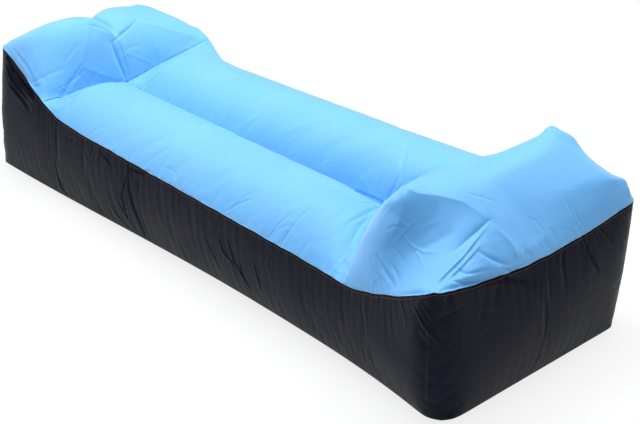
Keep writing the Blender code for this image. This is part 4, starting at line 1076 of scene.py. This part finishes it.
# moulded acetal: an even fine grain from the mould, satin, with faint rubbed places
def acetalMaterial(setup):
    material, tree = newMaterial("mouldedBlackAcetal")
    place = addNode(tree, "ShaderNodeTexCoord").outputs["Object"]
    grain = addNode(tree, "ShaderNodeTexNoise", None, {
        "Vector": place, "Scale": 1 / setup["grain"], "Detail": 2.0, "Roughness": 0.6,
    }).outputs["Fac"]
    rubs = addNode(tree, "ShaderNodeTexNoise", None, {
        "Vector": place, "Scale": 90.0, "Detail": 4.0,
    }).outputs["Fac"]
    rubbed = addNode(tree, "ShaderNodeMapRange", None, {
        "Value": rubs, "From Min": 0.55, "From Max": 0.75, "To Min": 0.0, "To Max": 0.6,
    }).outputs[0]
    tone = addNode(tree, "ShaderNodeMix", {"data_type": "RGBA"}, {
        0: rubbed, 6: linearColour(setup["colour"]), 7: linearColour(setup["rubbed"]),
    }).outputs[2]
    satin = addNode(tree, "ShaderNodeMapRange", None, {
        "Value": rubs, "From Min": 0.3, "From Max": 0.7,
        "To Min": setup["roughness"] - 0.06, "To Max": setup["roughness"] + 0.08,
    }).outputs[0]
    bump = addNode(tree, "ShaderNodeBump", None, {
        "Height": grain, "Strength": 0.6, "Distance": setup["grainDepth"],
    }).outputs[0]
    shell = addNode(tree, "ShaderNodeBsdfPrincipled", None, {
        "Base Color": tone, "Roughness": satin, "IOR": 1.48, "Normal": bump,
    })
    addNode(tree, "ShaderNodeOutputMaterial", None, {"Surface": shell.outputs[0]})
    return material


webbing = webbingMaterial(webbingSetup)
acetal = acetalMaterial(plasticSetup)
print("materials made")


# the skin is cut into its panels again, and each gets the thickness of the cloth

clothSetup = {
    "wall": 0.0008,
    "fill": 1.0,             # blown up hard
}


def camelName(node):
    words = node.split("_")
    return words[0] + "".join(word.capitalize() for word in words[1:])


def newPiece(name, mesh, material, node, body="lounger"):
    obj = bpy.data.objects.new(name, mesh)
    scene.collection.objects.link(obj)
    mesh.materials.clear()
    mesh.materials.append(material)
    for poly in mesh.polygons:
        poly.material_index = 0
        poly.use_smooth = True
    if body:
        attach(obj, body)
    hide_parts(node)
    return obj


def cutPanels(obj, setup):
    rest = bmesh.new()
    rest.from_mesh(obj.data)
    for number, node in enumerate(skinSetup["panels"]):
        bm = rest.copy()
        others = [face for face in bm.faces if face.material_index != number]
        bmesh.ops.delete(bm, geom=others, context="FACES")
        mesh = bpy.data.meshes.new(camelName(node))
        bm.to_mesh(mesh)
        bm.free()
        done = [face for face in rest.faces if face.material_index == number]
        bmesh.ops.delete(rest, geom=done, context="FACES")
        material, slot = (blueTaffeta, "blue_cloth") if number < blueCount else (blackTaffeta, "black_cloth")
        piece = newPiece(camelName(node), mesh, material, node)
        thick = piece.modifiers.new("clothWall", "SOLIDIFY")
        thick.thickness = setup["wall"]
        thick.offset = -1.0
        print(piece.name, len(mesh.polygons), "faces")
    rest.free()
    bpy.data.objects.remove(obj)


cutPanels(skin, clothSetup)
print("panels cut and lined")


# the rolled mouth, wound from both lips of the neck

rollSetup = {
    "levels": 2,
    "ripple": 0.00022,
    "rippleScale": 60.0,
    "fill": 0.3,
}


# a finer copy of a cloth or webbing node, whose edges sharper than this stay sharp
sharpAngle = radians(70)


def softCopy(name, node, levels, material, body="lounger"):
    bm = nodeMesh(node)
    bmesh.ops.join_triangles(bm, faces=bm.faces[:], **quadAngles)
    layer = bm.edges.layers.float.new("crease_edge")
    for edge in bm.edges:
        if len(edge.link_faces) == 2 and edge.calc_face_angle(0.0) > sharpAngle:
            edge[layer] = 1.0
    mesh = bpy.data.meshes.new(name)
    bm.to_mesh(mesh)
    bm.free()
    obj = newPiece(name, mesh, material, node, body)
    modifier = obj.modifiers.new("fine", "SUBSURF")
    modifier.levels = modifier.render_levels = levels
    bakeModifiers(obj)
    return obj


def ripple(obj, height, scale):
    mesh = obj.data
    points, normals = coordinates(mesh), vertexNormals(mesh)
    waves = np.array([noise.noise(Vector(point) * scale) for point in points])
    setCoordinates(mesh, points + normals * (waves * height)[:, None])


roll = softCopy("mouthRoll", "mouth_roll", rollSetup["levels"], blackTaffeta)
ripple(roll, rollSetup["ripple"], rollSetup["rippleScale"])
print("mouth rolled:", len(roll.data.polygons), "faces")


# the straps at the ends of the roll

strapSetup = {
    "levels": 2,
    "fixedEnd": (-1.345, 0.0618, 0.2),
    "plugEnd": (-1.366, 0.016, 0.2),
}

softCopy("socketStrap", "socket_webbing", strapSetup["levels"], webbing)
plugStrap = softCopy("plugStrap", "plug_webbing", strapSetup["levels"], webbing, None)
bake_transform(plugStrap)
print("straps made")


# the inner webs that hold the creases down, with their round vents

webSetup = {"nodes": ["centre_web", "head_centre_web", "head_web", "foot_web"], "levels": 1}

for node in webSetup["nodes"]:
    softCopy(camelName(node), node, webSetup["levels"], blackTaffeta)
print("webs made")


# the buckle and the strips of the mouth are the solids themselves, with their material

hardNodes = (
    "lip_strip_outer", "lip_strip_inner", "buckle_socket", "buckle_plug", "upper_prong", "lower_prong",
)

for node in hardNodes:
    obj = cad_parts[node]
    if obj.material_slots:
        for place in obj.material_slots:
            place.material = acetal
    else:
        obj.data.materials.append(acetal)
print("buckle and strips finished")
